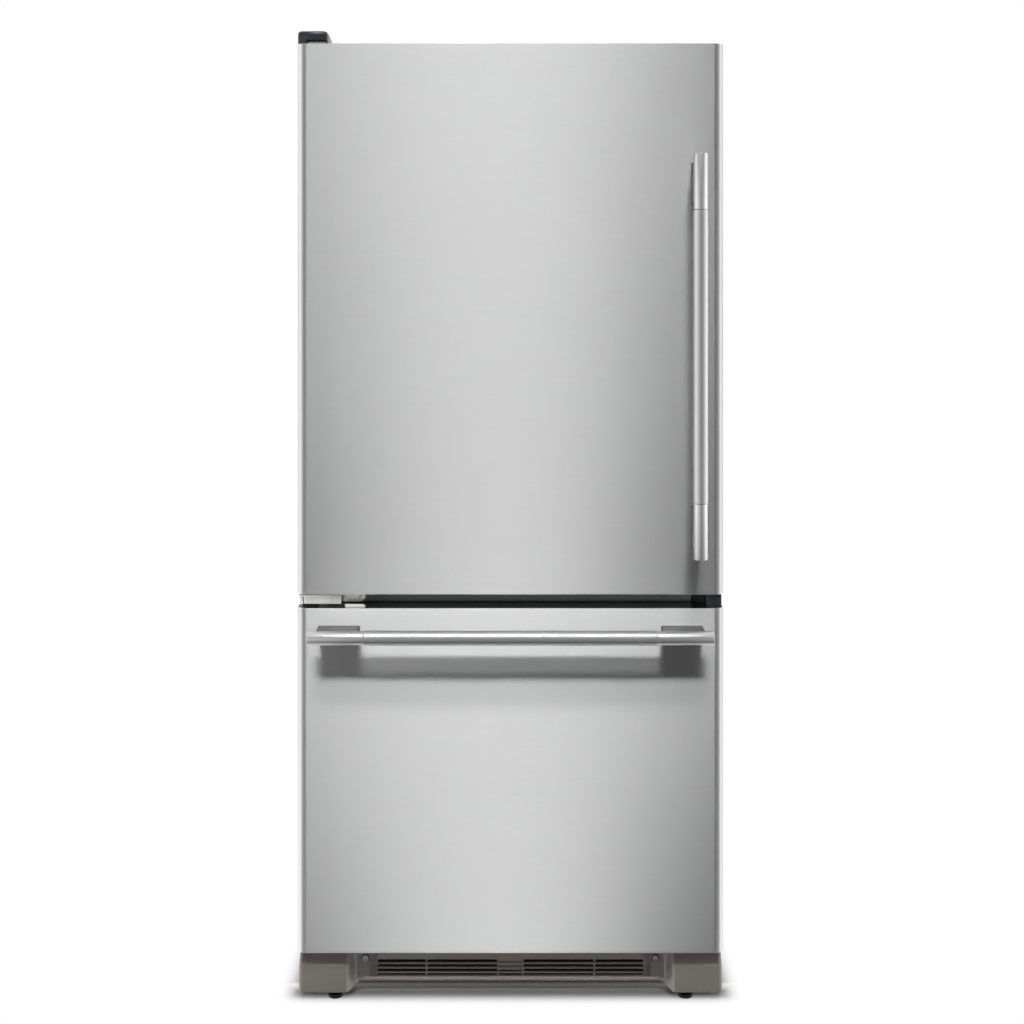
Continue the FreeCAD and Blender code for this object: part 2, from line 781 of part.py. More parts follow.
def screw_hole(name, axis, outward, x, y, z, depth):
    """Note a screw whose head sits at the point and faces outward, and return its shank's hole."""
    head, high = D["screw_head_radius"], D["screw_head_height"]
    shank = D["screw_radius"]
    x, y, z, depth = (Size.of(v) for v in (x, y, z, depth))
    spots = {}
    for part, length in (("head", high), ("shank", depth)):
        toward = outward if part == "head" else -outward
        low = Size.of(0) if toward > 0 else -length
        spots[part] = tuple(v + low if a == axis else v for a, v in (("X", x), ("Y", y), ("Z", z)))
    cap = rod(f"{name}_head", axis, head, high, *spots["head"])
    groove = D["screw_recess"]
    sides = {"X": ("Y", "Z"), "Y": ("X", "Z"), "Z": ("X", "Y")}[axis]
    marks = []
    for side in sides:
        spans = []
        for a, v in (("X", x), ("Y", y), ("Z", z)):
            if a == axis:
                tip = v + high * outward
                spans += [tip - groove, tip + groove]
            else:
                reach = head * 0.6 if a == side else groove / 2
                spans += [v - reach, v + reach]
        marks.append(box(f"{name}_recess_{side}", *spans))
    SCREWS.append(fuse(f"{name}_screw", [cut(f"{name}_top", cap, marks),
                                         rod(f"{name}_shank", axis, shank, depth, *spots["shank"])]))
    wide = D["screw_hole_clearance"]
    low = -depth - 1 if outward > 0 else Size.of(-1)
    start = tuple(v + low if a == axis else v for a, v in (("X", x), ("Y", y), ("Z", z)))
    return rod(f"{name}_hole", axis, shank + wide, depth + 2, *start)


tab_depth = cabinet_front + wrap - grille_face
grille_whole = fuse("grille_whole", grille_pieces)
node("base_grille", cut("base_grille", grille_whole, [
    screw_hole(f"grille_{name}", "Y", -1, screw_x * side, grille_face, screw_z, tab_depth)
    for side, name in SIDES]))

hp = D["hinge_plate"]
pin = D["pin_radius"]
cover_low = D["cabinet_top"]
hinge_rear = cabinet_front + D["top_hinge_run"]
top_plate = fuse("top_hinge_solid", [
    box("top_hinge_leaf", hinge_x - pin - 1.5, D["top_hinge_width"] + hinge_x, hinge_y - 12, hinge_rear,
        cover_low, cover_low + hp),
    rod("top_hinge_pin", "Z", pin, D["pin_reach"] + cover_low - door_high + hp, hinge_x, hinge_y,
        door_high - D["pin_reach"]),
])
top_screws = [(hinge_x + 12, hinge_rear - 14), (hinge_x + 32, hinge_rear - 14),
              (hinge_x + 22, hinge_rear - 42)]
node("top_hinge", cut("top_hinge", top_plate, [
    screw_hole(f"top_{i}", "Z", 1, x, y, cover_low + hp, hp) for i, (x, y) in enumerate(top_screws)]))

cw = D["cover_wall"]
cover_left = D["cover_inset"] - door_half
cover_front = door_face + D["cover_setback"]
cover_rear = hinge_rear + D["cover_overhang"]
cover_high = cover_low + D["cover_height"]
cover_right = cover_left + D["cover_width"]
flare = D["cover_flare"]
cover_outside = prism("cover_outside", "XZ", [
    (cover_left, cover_low), (cover_left, cover_high - flare / 3), (cover_left + flare / 3, cover_high),
    (cover_right - flare, cover_high), (cover_right - flare / 2, cover_high - flare / 3),
    (cover_right, cover_low)], cover_front, cover_rear - cover_front)
cover_inside = prism("cover_inside", "XZ", [
    (cover_left + cw, cover_low - 5), (cover_left + cw, cover_high - cw - flare / 4),
    (cover_left + cw + flare / 4, cover_high - cw), (cover_right - flare - cw / 2, cover_high - cw),
    (cover_right - flare / 2 - cw, cover_high - flare / 3 - cw), (cover_right - cw * 1.3, cover_low),
    (cover_right - cw * 1.3, cover_low - 5)], cover_front + cw, cover_rear - cover_front - cw * 2)
node("top_hinge_cover", cut("top_hinge_cover", cover_outside, [
    cover_inside,
    box("cover_notch", cover_left + D["notch_inset"], cover_right - D["notch_inset"] / 2, cover_front - 5,
        cover_front + 5, cover_low - 5, cover_low + D["notch_height"])]))

ear_right = hinge_x + D["ear_reach"]
ear_left = hinge_x + D["ear_start"]
ear_low = mullion_low + D["gasket_end"] + D["gasket_width"] + seat
plate_high = door_low - D["hinge_drop"]
lip_front = door_face + D["lip_setback"]
lip_left = hinge_x + D["lip_start"]
lip_right = hinge_x + D["hinge_width"]
chamfer = D["ear_chamfer"]
hinge_solid = fuse("center_hinge_solid", [
    prism("center_hinge_ear", "XZ", [
        (ear_left, ear_low), (ear_right - chamfer, ear_low), (ear_right, ear_low + chamfer),
        (ear_right, plate_high), (ear_left, plate_high)], cabinet_front - hp, hp),
    prism("center_hinge_leaf", "XY", [
        (lip_right, cabinet_front), (ear_left, cabinet_front), (hinge_x - pin - 2, hinge_y + 12),
        (hinge_x - pin - 2, hinge_y - 8), (lip_left, lip_front), (lip_right, lip_front)],
        plate_high - hp, hp),
    box("center_hinge_lip", lip_left, lip_right, lip_front, lip_front + hp, plate_high - D["hinge_lip"],
        plate_high),
    rod("center_hinge_pin", "Z", pin, D["pin_reach"] + D["hinge_drop"] + hp, hinge_x, hinge_y,
        plate_high - hp),
    rod("center_hinge_collar", "Z", D["collar_radius"], D["collar_height"], hinge_x, hinge_y,
        plate_high - D["collar_height"] - hp + 1),
])
ear_screw_z = mullion_low + D["mullion_height"] * D["ear_screw_share"]
ear_holes = [screw_hole(f"ear_{i}", "Y", -1, x, cabinet_front - hp, ear_screw_z, hp)
             for i, x in enumerate((ear_right - D["ear_screw_inset"], ear_left + D["ear_screw_inset"] * 2))]
node("center_hinge", cut("center_hinge", hinge_solid, ear_holes))
spare_hole = screw_hole("mullion_spare", "Y", -1, -ear_right + D["spare_inset"], cabinet_front, ear_screw_z,
                        rail_sheet)
node("mullion_rail", cut("mullion_rail", mullion_plate, spare_hole))

# -------------------------------------------------------------------------------------------- doors' bodies
cap = D["cap_depth"]
panel = D["panel_sheet"]
round_front = D["corner_radius"]
window_half = door_half - D["skin_return"]
gw_seal = D["gasket_width"]
seal_half = door_half - D["gasket_edge"]


def door_shell(name, low, high, rim_out, rim_low, rim_high, rim_deep, seal_low, seal_high):
    """The skin, filling, inner panel and gasket of one door; returns them in that order."""
    skin_out = slab(f"{name}_skin_outside", door_half, door_face, door_back, low, high, round_front)
    skin_in = slab(f"{name}_skin_inside", door_half - skin, door_face + skin, door_back - skin,
                   low - 5, high + 5, round_front - skin)
    hide = cut(f"{name}_skin", skin_out, [
        skin_in, box(f"{name}_skin_window", -window_half, window_half, door_back - 5, door_back + 5,
                     low - 5, high + 5)])
    fill = cut(f"{name}_foam",
               slab(f"{name}_foam_block", door_half - skin, door_face + skin, door_back - skin,
                    low + cap, high - cap, round_front - skin),
               box(f"{name}_panel_seat", -window_half, window_half, door_back - panel, door_back + 5,
                   low + cap - 5, high - cap + 5))
    rim_in = rim_out - D["dyke_width"]
    liner = fuse(f"{name}_inner_panel", [
        box(f"{name}_panel_sheet", -window_half, window_half, door_back - panel, door_back,
            low + cap, high - cap),
        cut(f"{name}_rim",
            box(f"{name}_rim_block", -rim_out, rim_out, door_back - 1, door_back + rim_deep, rim_low,
                rim_high),
            box(f"{name}_rim_hollow", -rim_in, rim_in, door_back - 5, door_back + rim_deep + 5,
                rim_low + D["dyke_width"], rim_high - D["dyke_width"]))])
    seal = cut(f"{name}_gasket",
               box(f"{name}_gasket_block", -seal_half, seal_half, door_back, cabinet_front - seat,
                   seal_low, seal_high),
               box(f"{name}_gasket_hollow", gw_seal - seal_half, seal_half - gw_seal, door_back - 5,
                   cabinet_front + 5, seal_low + gw_seal, seal_high - gw_seal))
    return hide, fill, liner, seal


def end_cap(name, low):
    """A moulded cap that closes one end of a door inside the wrapped skin."""
    return fuse(name, [
        slab(f"{name}_plug", door_half - skin, door_face + skin, door_back - skin, low, low + cap,
             round_front - skin),
        box(f"{name}_back", -window_half, window_half, door_back - skin * 2, door_back, low, low + cap)])


def handle(prefix, axis, centre_x, centre_z):
    """A tube between two ferrules on flat posts, set up along X or Z; returns the tube and the mounts."""
    centre_y = door_face - D["handle_standoff"]
    long_half = D["handle_length"] / 2
    ferrule, spigot = D["ferrule_length"], D["spigot_length"]
    spigot_radius = D["ferrule_radius"] - D["ferrule_wall"]

    def along(offset):
        if axis == "X":
            return centre_x + offset, centre_y, centre_z
        return centre_x, centre_y, centre_z + offset

    tube_start = ferrule - long_half
    tube_length = long_half * 2 - ferrule * 2
    bar = cut(f"{prefix}_bar", fuse(f"{prefix}_bar_solid", [
        rod(f"{prefix}_tube", axis, D["handle_radius"], tube_length, *along(tube_start)),
        rod(f"{prefix}_spigot", axis, spigot_radius, tube_length + spigot * 2, *along(tube_start - spigot))]),
        rod(f"{prefix}_tube_bore", axis, spigot_radius - D["handle_wall"], tube_length + spigot * 2 + 10,
            *along(tube_start - spigot - 5)))
    mounts = []
    for side, name in SIDES:
        first = -long_half if side < 0 else long_half - ferrule
        if side < 0:
            post_near = D["post_inset"] - long_half
        else:
            post_near = long_half - D["post_inset"] - D["post_length"]
        half_post = D["post_width"] / 2
        if axis == "X":
            post = box(f"{prefix}_post_{name}", centre_x + post_near,
                       centre_x + post_near + D["post_length"],
                       centre_y, door_face, centre_z - half_post, centre_z + half_post)
        else:
            post = box(f"{prefix}_post_{name}", centre_x - half_post, centre_x + half_post,
                       centre_y, door_face, centre_z + post_near, centre_z + post_near + D["post_length"])
        hole = tube_start - spigot - seat if side < 0 else -tube_start
        mounts.append(cut(f"{prefix}_mount_{name}",
                          fuse(f"{prefix}_mount_solid_{name}", [
                              rod(f"{prefix}_ferrule_{name}", axis, D["ferrule_radius"], ferrule,
                                  *along(first)),
                              post]),
                          rod(f"{prefix}_socket_{name}", axis, spigot_radius + D["ferrule_fit"],
                              spigot + seat, *along(hole))))
    return bar, group(f"{prefix}_mounts", mounts)


# --- the fresh-food door
rim_out = room_half - D["dyke_gap"]
door_parts = door_shell("door", door_low, door_high, rim_out, door_low + D["dyke_bottom"],
                        door_high - D["dyke_top"], D["dyke_depth"], door_low + D["gasket_end"],
                        door_high - D["gasket_edge"])
for name, obj in zip(("door_skin", "door_foam", "door_inner_panel", "door_gasket"), door_parts):
    node(name, obj)
bushing_bore = pin + D["pin_clearance"]
node("door_end_caps", group("door_end_caps", [
    cut("door_bottom_cap", end_cap("door_bottom_block", door_low),
        rod("door_bottom_bore", "Z", bushing_bore, D["pin_reach"] + 6, hinge_x, hinge_y, door_low - 5)),
    cut("door_top_cap", end_cap("door_top_block", door_high - cap),
        rod("door_top_bore", "Z", bushing_bore, D["pin_reach"] + 6, hinge_x, hinge_y,
            door_high - D["pin_reach"] - 1)),
]))
door_bar, door_mounts = handle("door_handle", "Z", door_half - D["handle_inset"],
                               door_low + D["handle_rise"] + D["handle_length"] / 2)
node("door_handle_bar", door_bar)
node("door_handle_mounts", door_mounts)

bin_half = rim_out - D["dyke_width"]
bw = D["bin_wall"]
dairy_high = door_high - D["dairy_drop"]
dairy_low = dairy_high - D["dairy_height"]
bin_pitch = (dairy_low - door_low - D["bin_first"] + D["bin_slack"]) / 3
bins = []
for level in range(3):
    low = door_low + D["bin_first"] + bin_pitch * level
    bins.append(cut(f"door_bin_{level}",
                    box(f"bin_block_{level}", -bin_half, bin_half, door_back, door_back + D["bin_depth"],
                        low, low + D["bin_height"]),
                    box(f"bin_hollow_{level}", bw - bin_half, bin_half - bw, door_back + bw,
                        door_back + D["bin_depth"] - bw, low + bw, low + D["bin_height"] + 5)))
node("door_bins", group("door_bins", bins))

dairy_front = door_back + D["dairy_depth"]
lid_y = door_back + D["lid_hinge_in"]
lid_z = dairy_high + D["lid_barrel"]
lid_pin = D["lid_pin"]
node("dairy_box", cut("dairy_box", fuse("dairy_solid", [
    box("dairy_block", -bin_half, bin_half, door_back, dairy_front, dairy_low, dairy_high),
    box("dairy_ear_left", -bin_half, bw - bin_half, door_back, lid_y + 8, dairy_high - 1, lid_z + 6),
    box("dairy_ear_right", bin_half - bw, bin_half, door_back, lid_y + 8, dairy_high - 1, lid_z + 6)]), [
    box("dairy_hollow", bw - bin_half, bin_half - bw, door_back + bw, dairy_front + 5, dairy_low + bw,
        dairy_high + 20),
    rod("dairy_pin_hole", "X", lid_pin + D["pin_clearance"], bin_half * 2 + 10, -bin_half - 5, lid_y,
        lid_z)]))
lid_half = bin_half - bw - 1
lid_sheet = D["lid_sheet"]
node("dairy_lid", fuse("dairy_lid", [
    rod("lid_barrel", "X", D["lid_barrel"] - seat, lid_half * 2, -lid_half, lid_y, lid_z),
    rod("lid_pins", "X", lid_pin, bin_half * 2 - 1, 0.5 - bin_half, lid_y, lid_z),
    box("lid_top", -lid_half, lid_half, lid_y, dairy_front + seat + lid_sheet, dairy_high + seat,
        dairy_high + seat + lid_sheet),
    box("lid_front", -lid_half, lid_half, dairy_front + seat, dairy_front + seat + lid_sheet,
        dairy_low + D["lid_open_gap"], dairy_high + seat + lid_sheet)]))

# --- the freezer drawer
drawer_parts = door_shell("drawer", drawer_low, drawer_high, basket_edge - D["drawer_rim_gap"],
                          drawer_low + D["drawer_rim_low"], drawer_high - D["drawer_rim_high"],
                          D["drawer_rim_depth"], drawer_low + D["gasket_end"],
                          mullion_low + D["gasket_end"] + gw_seal)
for name, obj in zip(("drawer_skin", "drawer_foam", "drawer_inner_panel", "drawer_gasket"), drawer_parts):
    node(name, obj)
block_right = door_half - D["stop_inset"]
node("drawer_end_caps", group("drawer_end_caps", [
    end_cap("drawer_bottom_cap", drawer_low),
    fuse("drawer_top_cap", [
        end_cap("drawer_top_block", drawer_high - cap),
        box("drawer_corner_block", block_right - D["stop_width"], block_right, door_face + D["stop_setback"],
            door_face + D["stop_setback"] + D["stop_depth"], drawer_high - 1, door_low - D["stop_gap"])]),
]))
drawer_bar, drawer_mounts = handle("drawer_handle", "X", 0, drawer_high - D["drawer_handle_drop"])
node("drawer_handle_bar", drawer_bar)
node("drawer_handle_mounts", drawer_mounts)

# --- telescopic slides: a fixed channel, a channel that follows, and a channel on the drawer
rail_low = rail_top - D["rail_height"]
rail_front = cabinet_front + 8
rail_wall = D["rail_wall"]
play = D["rail_clearance"]
rail_out = room_half
fixed_rails, middle_rails, inner_rails = [], [], []
for side, name in SIDES:
    web = rail_out - rail_wall
    fixed_in = rail_out - D["rail_depth"]
    fixed_rails.append(cut(f"fixed_rail_{name}",
                           box(f"fixed_rail_block_{name}", *on_side(side, fixed_in, rail_out),
                               rail_front, rail_front + D["rail_length"], rail_low, rail_top),
                           box(f"fixed_rail_groove_{name}", *on_side(side, fixed_in - 5, web),
                               rail_front - 5, rail_front + D["rail_length"] + 5, rail_low + rail_wall,
                               rail_top - rail_wall)))
    mid_out = web - play
    mid_in = fixed_in - D["rail_step"]
    mid_low = rail_low + rail_wall + play
    mid_high = rail_top - rail_wall - play
    middle_rails.append(cut(f"middle_rail_{name}",
                            box(f"middle_rail_block_{name}", *on_side(side, mid_in, mid_out),
                                rail_front, rail_front + D["rail_length"] - 8, mid_low, mid_high),
                            box(f"middle_rail_groove_{name}", *on_side(side, mid_in - 5, mid_out - rail_wall),
                                rail_front - 5, rail_front + D["rail_length"], mid_low + rail_wall,
                                mid_high - rail_wall)))
    inner_rails.append(box(f"inner_rail_{name}", *on_side(side, mid_in - D["rail_step"] * 2,
                                                          mid_out - rail_wall - play),
                           door_back, rail_front + D["rail_length"] - 16, mid_low + rail_wall + play,
                           mid_high - rail_wall - play))
node("drawer_rails_fixed", group("drawer_rails_fixed", fixed_rails))
node("drawer_rails_middle", group("drawer_rails_middle", middle_rails))
node("drawer_rails_inner", group("drawer_rails_inner", inner_rails))

inner_face = basket_edge
basket_half = inner_face - D["basket_gap"]
tw = D["basket_wall"]
basket_floor = D["freezer_floor"] + D["basket_clear"]
basket_front = door_back + D["drawer_rim_depth"] + 1
basket_back = step_front - D["basket_back_gap"]
rail_crown = rail_top - (rail_wall + play) * 2
ledge_z = rail_crown - D["tray_height"]
basket_pieces = [
    cut("basket_body",
        box("basket_block", -basket_half, basket_half, basket_front, basket_back, basket_floor, rail_crown),
        box("basket_hollow", tw - basket_half, basket_half - tw, basket_front + tw, basket_back - tw,
            basket_floor + tw, rail_crown + 5))]
for side, name in SIDES:
    basket_pieces += [
        box(f"basket_flange_{name}", *on_side(side, basket_half - 1, inner_face + D["rail_step"]),
            basket_front, basket_back, rail_crown, rail_crown + tw),
        box(f"basket_ledge_{name}", *on_side(side, basket_half - tw - D["tray_ledge"], basket_half - 1),
            basket_front + 1, basket_back - 1, ledge_z - tw, ledge_z)]
node("freezer_basket", fuse("freezer_basket", basket_pieces))
tray_half = basket_half - tw - D["tray_side_gap"]
tray_front = basket_front + tw + 2
node("freezer_tray", cut("freezer_tray",
     box("tray_block", -tray_half, tray_half, tray_front, tray_front + D["tray_length"], ledge_z + seat,
         rail_crown - 5),
     box("tray_hollow", bw - tray_half, tray_half - bw, tray_front + bw, tray_front + D["tray_length"] - bw,
         ledge_z + seat + bw, rail_crown + 5)))

# ------------------------------------------------------------------------------------ fresh-food compartment
shelf_pitch = (fresh_top - crisper_top - D["shelf_rise"] - D["shelf_top_room"]) / 2
duct_half = D["duct_half"]
duct_front = fresh_back - D["duct_depth"]
duct_low = crisper_top + D["duct_rise"]
duct_high = fresh_top - D["duct_drop"]
duct_sheet = D["duct_sheet"]
louvres = []
louvre_count = 3
for level in range(louvre_count):
    middle = (crisper_top + D["shelf_rise"]) + shelf_pitch * level + D["louvre_rise"]
    for row in range(3):
        low = middle + D["louvre_pitch"] * row
        louvres.append(box(f"louvre_{level}_{row}", -D["louvre_half"], D["louvre_half"], duct_front - 5,
                           duct_front + duct_sheet + 5, low, low + D["louvre_height"]))
node("air_duct", cut("air_duct", box("duct_block", -duct_half, duct_half, duct_front, fresh_back,
                                     duct_low, duct_high), louvres + [
    box("duct_hollow", duct_sheet - duct_half, duct_half - duct_sheet, duct_front + duct_sheet,
        fresh_back + 5, duct_low + duct_sheet, duct_high - duct_sheet)]))

track_depth = D["track_depth"]
track_front = fresh_back - track_depth
shelf_front = -D["shelf_front"]
glass_back = duct_front - D["trim_back"] - D["shelf_duct_gap"]
glass = D["shelf_glass_depth"]
lip = D["trim_side"]
glass_half = room_half - lip - D["shelf_side_gap"]
supports, panes, trims = [], [], []
for side, name in SIDES:
    near, far = D["track_x"] - D["track_width"] / 2, D["track_x"] + D["track_width"] / 2
    supports.append(box(f"track_{name}", *on_side(side, near, far), track_front, fresh_back,
                        crisper_top + D["duct_rise"], duct_high))
shelf_levels = [(crisper_top + D["shelf_rise"]) + shelf_pitch * level for level in range(3)]
for level, z in enumerate(shelf_levels):
    for side, name in SIDES:
        middle = D["track_x"] * side
        supports.append(prism(f"bracket_{level}_{name}", "YZ", [
            (track_front + 1, z - D["bracket_drop"]), (track_front + 1, z),
            (shelf_front + D["trim_lip"], z), (shelf_front + D["trim_lip"], z - D["bracket_nose"])],
            middle - D["arm_sheet"] / 2, D["arm_sheet"]))
    panes.append(box(f"shelf_pane_{level}", -glass_half, glass_half, shelf_front, glass_back, z, z + glass))
    frame = cut(f"shelf_frame_{level}",
                box(f"shelf_frame_block_{level}", -glass_half - lip, glass_half + lip,
                    shelf_front - D["trim_front"], glass_back + D["trim_back"], z, z + D["trim_height"]),
                box(f"shelf_frame_hollow_{level}", -glass_half, glass_half, shelf_front, glass_back,
                    z - 5, z + D["trim_height"] + 5))
    trims.append(fuse(f"shelf_trim_{level}", [
        frame,
        box(f"shelf_nose_{level}", -glass_half - lip, glass_half + lip, shelf_front - D["trim_front"],
            shelf_front, z - D["trim_drop"], z + 1),
        box(f"shelf_hem_{level}", -glass_half - lip, glass_half + lip, shelf_front - D["trim_front"],
            shelf_front + D["trim_lip"] - 1, z - D["trim_drop"], z)]))
node("shelf_supports", fuse("shelf_supports", supports))
node("shelf_trims", group("shelf_trims", trims))

cover_z = crisper_top
cc_sheet = D["crisper_cover_depth"]
cc_half = room_half - D["cover_side_gap"]
cc_front = -D["crisper_front"] - D["cover_nose"]
cc_back = fresh_back - D["cover_back_gap"]
frame_in = cc_half - D["cover_frame"]
rest = D["glass_rest"]
slide_low = cover_z + D["slide_rise"]
slide_high = slide_low + D["slide_height"]
slide_deep = D["slide_depth"]
slide_start, slide_run, slide_long = D["slide_x"], D["slide_run"], D["slide_length"]
cc_block = fuse("crisper_cover_solid", [
    box("crisper_cover_block", -cc_half, cc_half, cc_front, cc_back, cover_z, cover_z + cc_sheet),
    box("crisper_cover_nose", D["ledge_width"] + 1 - room_half, room_half - D["ledge_width"] - 1, cc_front,
        cc_front + D["cover_nose"] * 2, cover_z - D["nose_drop"], cover_z + cc_sheet + D["nose_lift"])])
channels = []
for side, name in SIDES:
    slide_near = slide_start if side > 0 else -slide_start - slide_long
    channels.append(box(f"slide_channel_{name}", slide_near, slide_near + slide_long + slide_run,
                        cc_front - 5, cc_front + slide_deep, slide_low, slide_high))
node("crisper_cover", cut("crisper_cover", cc_block, channels + [
    box("crisper_cover_window", -frame_in, frame_in, cc_front + D["cover_frame"], cc_back - D["cover_frame"],
        cover_z - 5, cover_z + cc_sheet + 5),
    box("crisper_cover_rest", -frame_in - rest, frame_in + rest, cc_front + D["cover_frame"] - rest,
        cc_back - D["cover_frame"] + rest, cover_z + cc_sheet - glass, cover_z + cc_sheet + 5)]))
panes.append(box("crisper_pane", -frame_in - rest, frame_in + rest, cc_front + D["cover_frame"] - rest,
                 cc_back - D["cover_frame"] + rest, cover_z + cc_sheet - glass, cover_z + cc_sheet))
node("shelf_glass", group("shelf_glass", panes))
for side, name in SIDES:
    x0 = slide_start if side > 0 else -slide_start - slide_long
    node(f"humidity_slide_{name}", fuse(f"humidity_slide_{name}", [
        box(f"slide_body_{name}", x0 + seat, x0 + slide_long, cc_front + seat, cc_front + slide_deep - seat,
            slide_low + seat, slide_high - seat),
        box(f"slide_grip_{name}", x0 + slide_long / 2 - 4, x0 + slide_long / 2 + 4,
            cc_front - D["grip_reach"], cc_front + 1, slide_low + seat, slide_high - seat)]))

crisper_front = -D["crisper_front"]
crisper_back = fresh_back - D["crisper_back_gap"]
crisper_low = mullion_high + seat
crisper_high = cover_z - D["nose_drop"] - D["crisper_head_gap"]
kw = D["crisper_wall"]
for side, name in SIDES:
    near, far = D["crisper_mid_gap"] / 2, room_half - D["ledge_width"] - D["crisper_side_gap"]
    node(f"crisper_{name}", fuse(f"crisper_{name}", [
        cut(f"crisper_tub_{name}",
            box(f"crisper_block_{name}", *on_side(side, near, far), crisper_front, crisper_back,
                crisper_low, crisper_high),
            box(f"crisper_hollow_{name}", *on_side(side, near + kw, far - kw), crisper_front + kw,
                crisper_back - kw, crisper_low + kw, crisper_high + 5)),
        box(f"crisper_lip_{name}", *on_side(side, near + 8, far - 8), crisper_front - D["crisper_lip"],
            crisper_front + 1, crisper_high - D["crisper_lip_height"], crisper_high)]))

# --- controls and light at the ceiling
box_half = D["control_half"]
box_front = -D["control_front"]
box_back = box_front + D["control_depth"]
box_low = fresh_top - D["control_height"]
box_sheet = D["control_sheet"]
knob_x = D["knob_x"]
knob_z = fresh_top - D["control_height"] / 2
shaft = D["knob_shaft"]
lens_half = D["lens_half"]
lens_front = box_front + D["lens_inset"]
lens_back = box_back - D["lens_inset"]
node("control_housing", cut("control_housing", fuse("control_solid", [
    cut("control_shell",
        box("control_block", -box_half, box_half, box_front, box_back, box_low, fresh_top),
        box("control_hollow", box_sheet - box_half, box_half - box_sheet, box_front + box_sheet,
            box_back - box_sheet, box_low + box_sheet, fresh_top + 5)),
    rod("knob_boss", "Y", shaft + 3, D["boss_length"], knob_x, box_front + 0.5, knob_z)]), [
    rod("knob_bore", "Y", shaft + D["pin_clearance"], D["boss_length"] + 10, knob_x, box_front - 5, knob_z),
    box("lens_window", -lens_half, lens_half, lens_front, lens_back, box_low - 5, box_low + box_sheet + 5)]))
node("light_lens", cut("light_lens",
     box("lens_block", -lens_half, lens_half, lens_front, lens_back, box_low - D["lens_drop"],
         box_low + box_sheet),
     box("lens_hollow", duct_sheet - lens_half, lens_half - duct_sheet, lens_front + duct_sheet,
         lens_back - duct_sheet, box_low - D["lens_drop"] + duct_sheet, box_low + box_sheet + 5)))
knob_front = box_front - seat - D["knob_depth"]
node("control_knob", fuse("control_knob", [
    rod("knob_disc", "Y", D["knob_radius"], D["knob_depth"], knob_x, knob_front, knob_z),
    box("knob_grip", knob_x - 2.5, knob_x + 2.5, knob_front - 5, knob_front + 1,
        knob_z - D["knob_radius"] + 1, knob_z + D["knob_radius"] - 1),
    rod("knob_spindle", "Y", shaft, D["knob_depth"] + D["boss_length"], knob_x, knob_front + 1, knob_z)]))

# ------------------------------------------------------------------------------ cooling parts in the freezer
evap_front = freezer_back - D["evap_cover_depth"]
ev_sheet = D["evap_sheet"]
fan_z = mullion_low - D["evap_fan_drop"]
fan_room = D["evap_fan_radius"] + D["fan_tip_gap"]
returns = []
for i in range(-3, 4):
    middle = D["return_pitch"] * i
    returns.append(box(f"evap_return_{i}", middle - D["return_half"], middle + D["return_half"],
                       evap_front - 5, evap_front + ev_sheet + 5, step_floor + 15, step_floor + 35))
node("evaporator_cover", cut("evaporator_cover", box(
    "evap_cover_block", D["cover_side_gap"] - room_half, room_half - D["cover_side_gap"], evap_front,
    evap_front + D["evap_flange"], step_floor, mullion_low), returns + [
    box("evap_cover_hollow", D["cover_side_gap"] + ev_sheet - room_half,
        room_half - D["cover_side_gap"] - ev_sheet, evap_front + ev_sheet,
        evap_front + D["evap_flange"] + 5, step_floor + ev_sheet, mullion_low - ev_sheet),
    rod("evap_fan_opening", "Y", fan_room, 40, 0, evap_front - 20, fan_z)]))

coil_half = D["coil_half"]
coil_rows = [step_floor + D["coil_rise"] + D["coil_pitch"] * i for i in range(4)]
coil_lines = [freezer_back - D["coil_setback"] - D["coil_pitch"] * i for i in range(2)]
tube = D["coil_tube"]
coil = []
for i in range(19):
    x = D["fin_pitch"] * (i - 9)
    coil.append(box(f"evap_fin_{i}", x - D["fin_sheet"] / 2, x + D["fin_sheet"] / 2,
                    coil_lines[1] - D["fin_reach"], coil_lines[0] + D["fin_reach"],
                    coil_rows[0] - D["fin_reach"], coil_rows[3] + D["fin_reach"]))
for row, z in enumerate(coil_rows):
    for line, y in enumerate(coil_lines):
        coil.append(rod(f"evap_tube_{row}_{line}", "X", tube, coil_half * 2, -coil_half, y, z))
for side, name in SIDES:
    coil.append(box(f"evap_plate_{name}", *on_side(side, coil_half - 12, coil_half - 10),
                    coil_lines[1] - D["fin_reach"], freezer_back, coil_rows[0] - D["fin_reach"],
                    coil_rows[3] + D["fin_reach"]))
for line, y in enumerate(coil_lines):
    for step in range(3):
        x = (coil_half - tube) * (1 if step % 2 else -1)
        coil.append(rod(f"evap_bend_{line}_{step}", "Z", tube, D["coil_pitch"], x, y, coil_rows[step]))
node("evaporator", fuse("evaporator", coil))


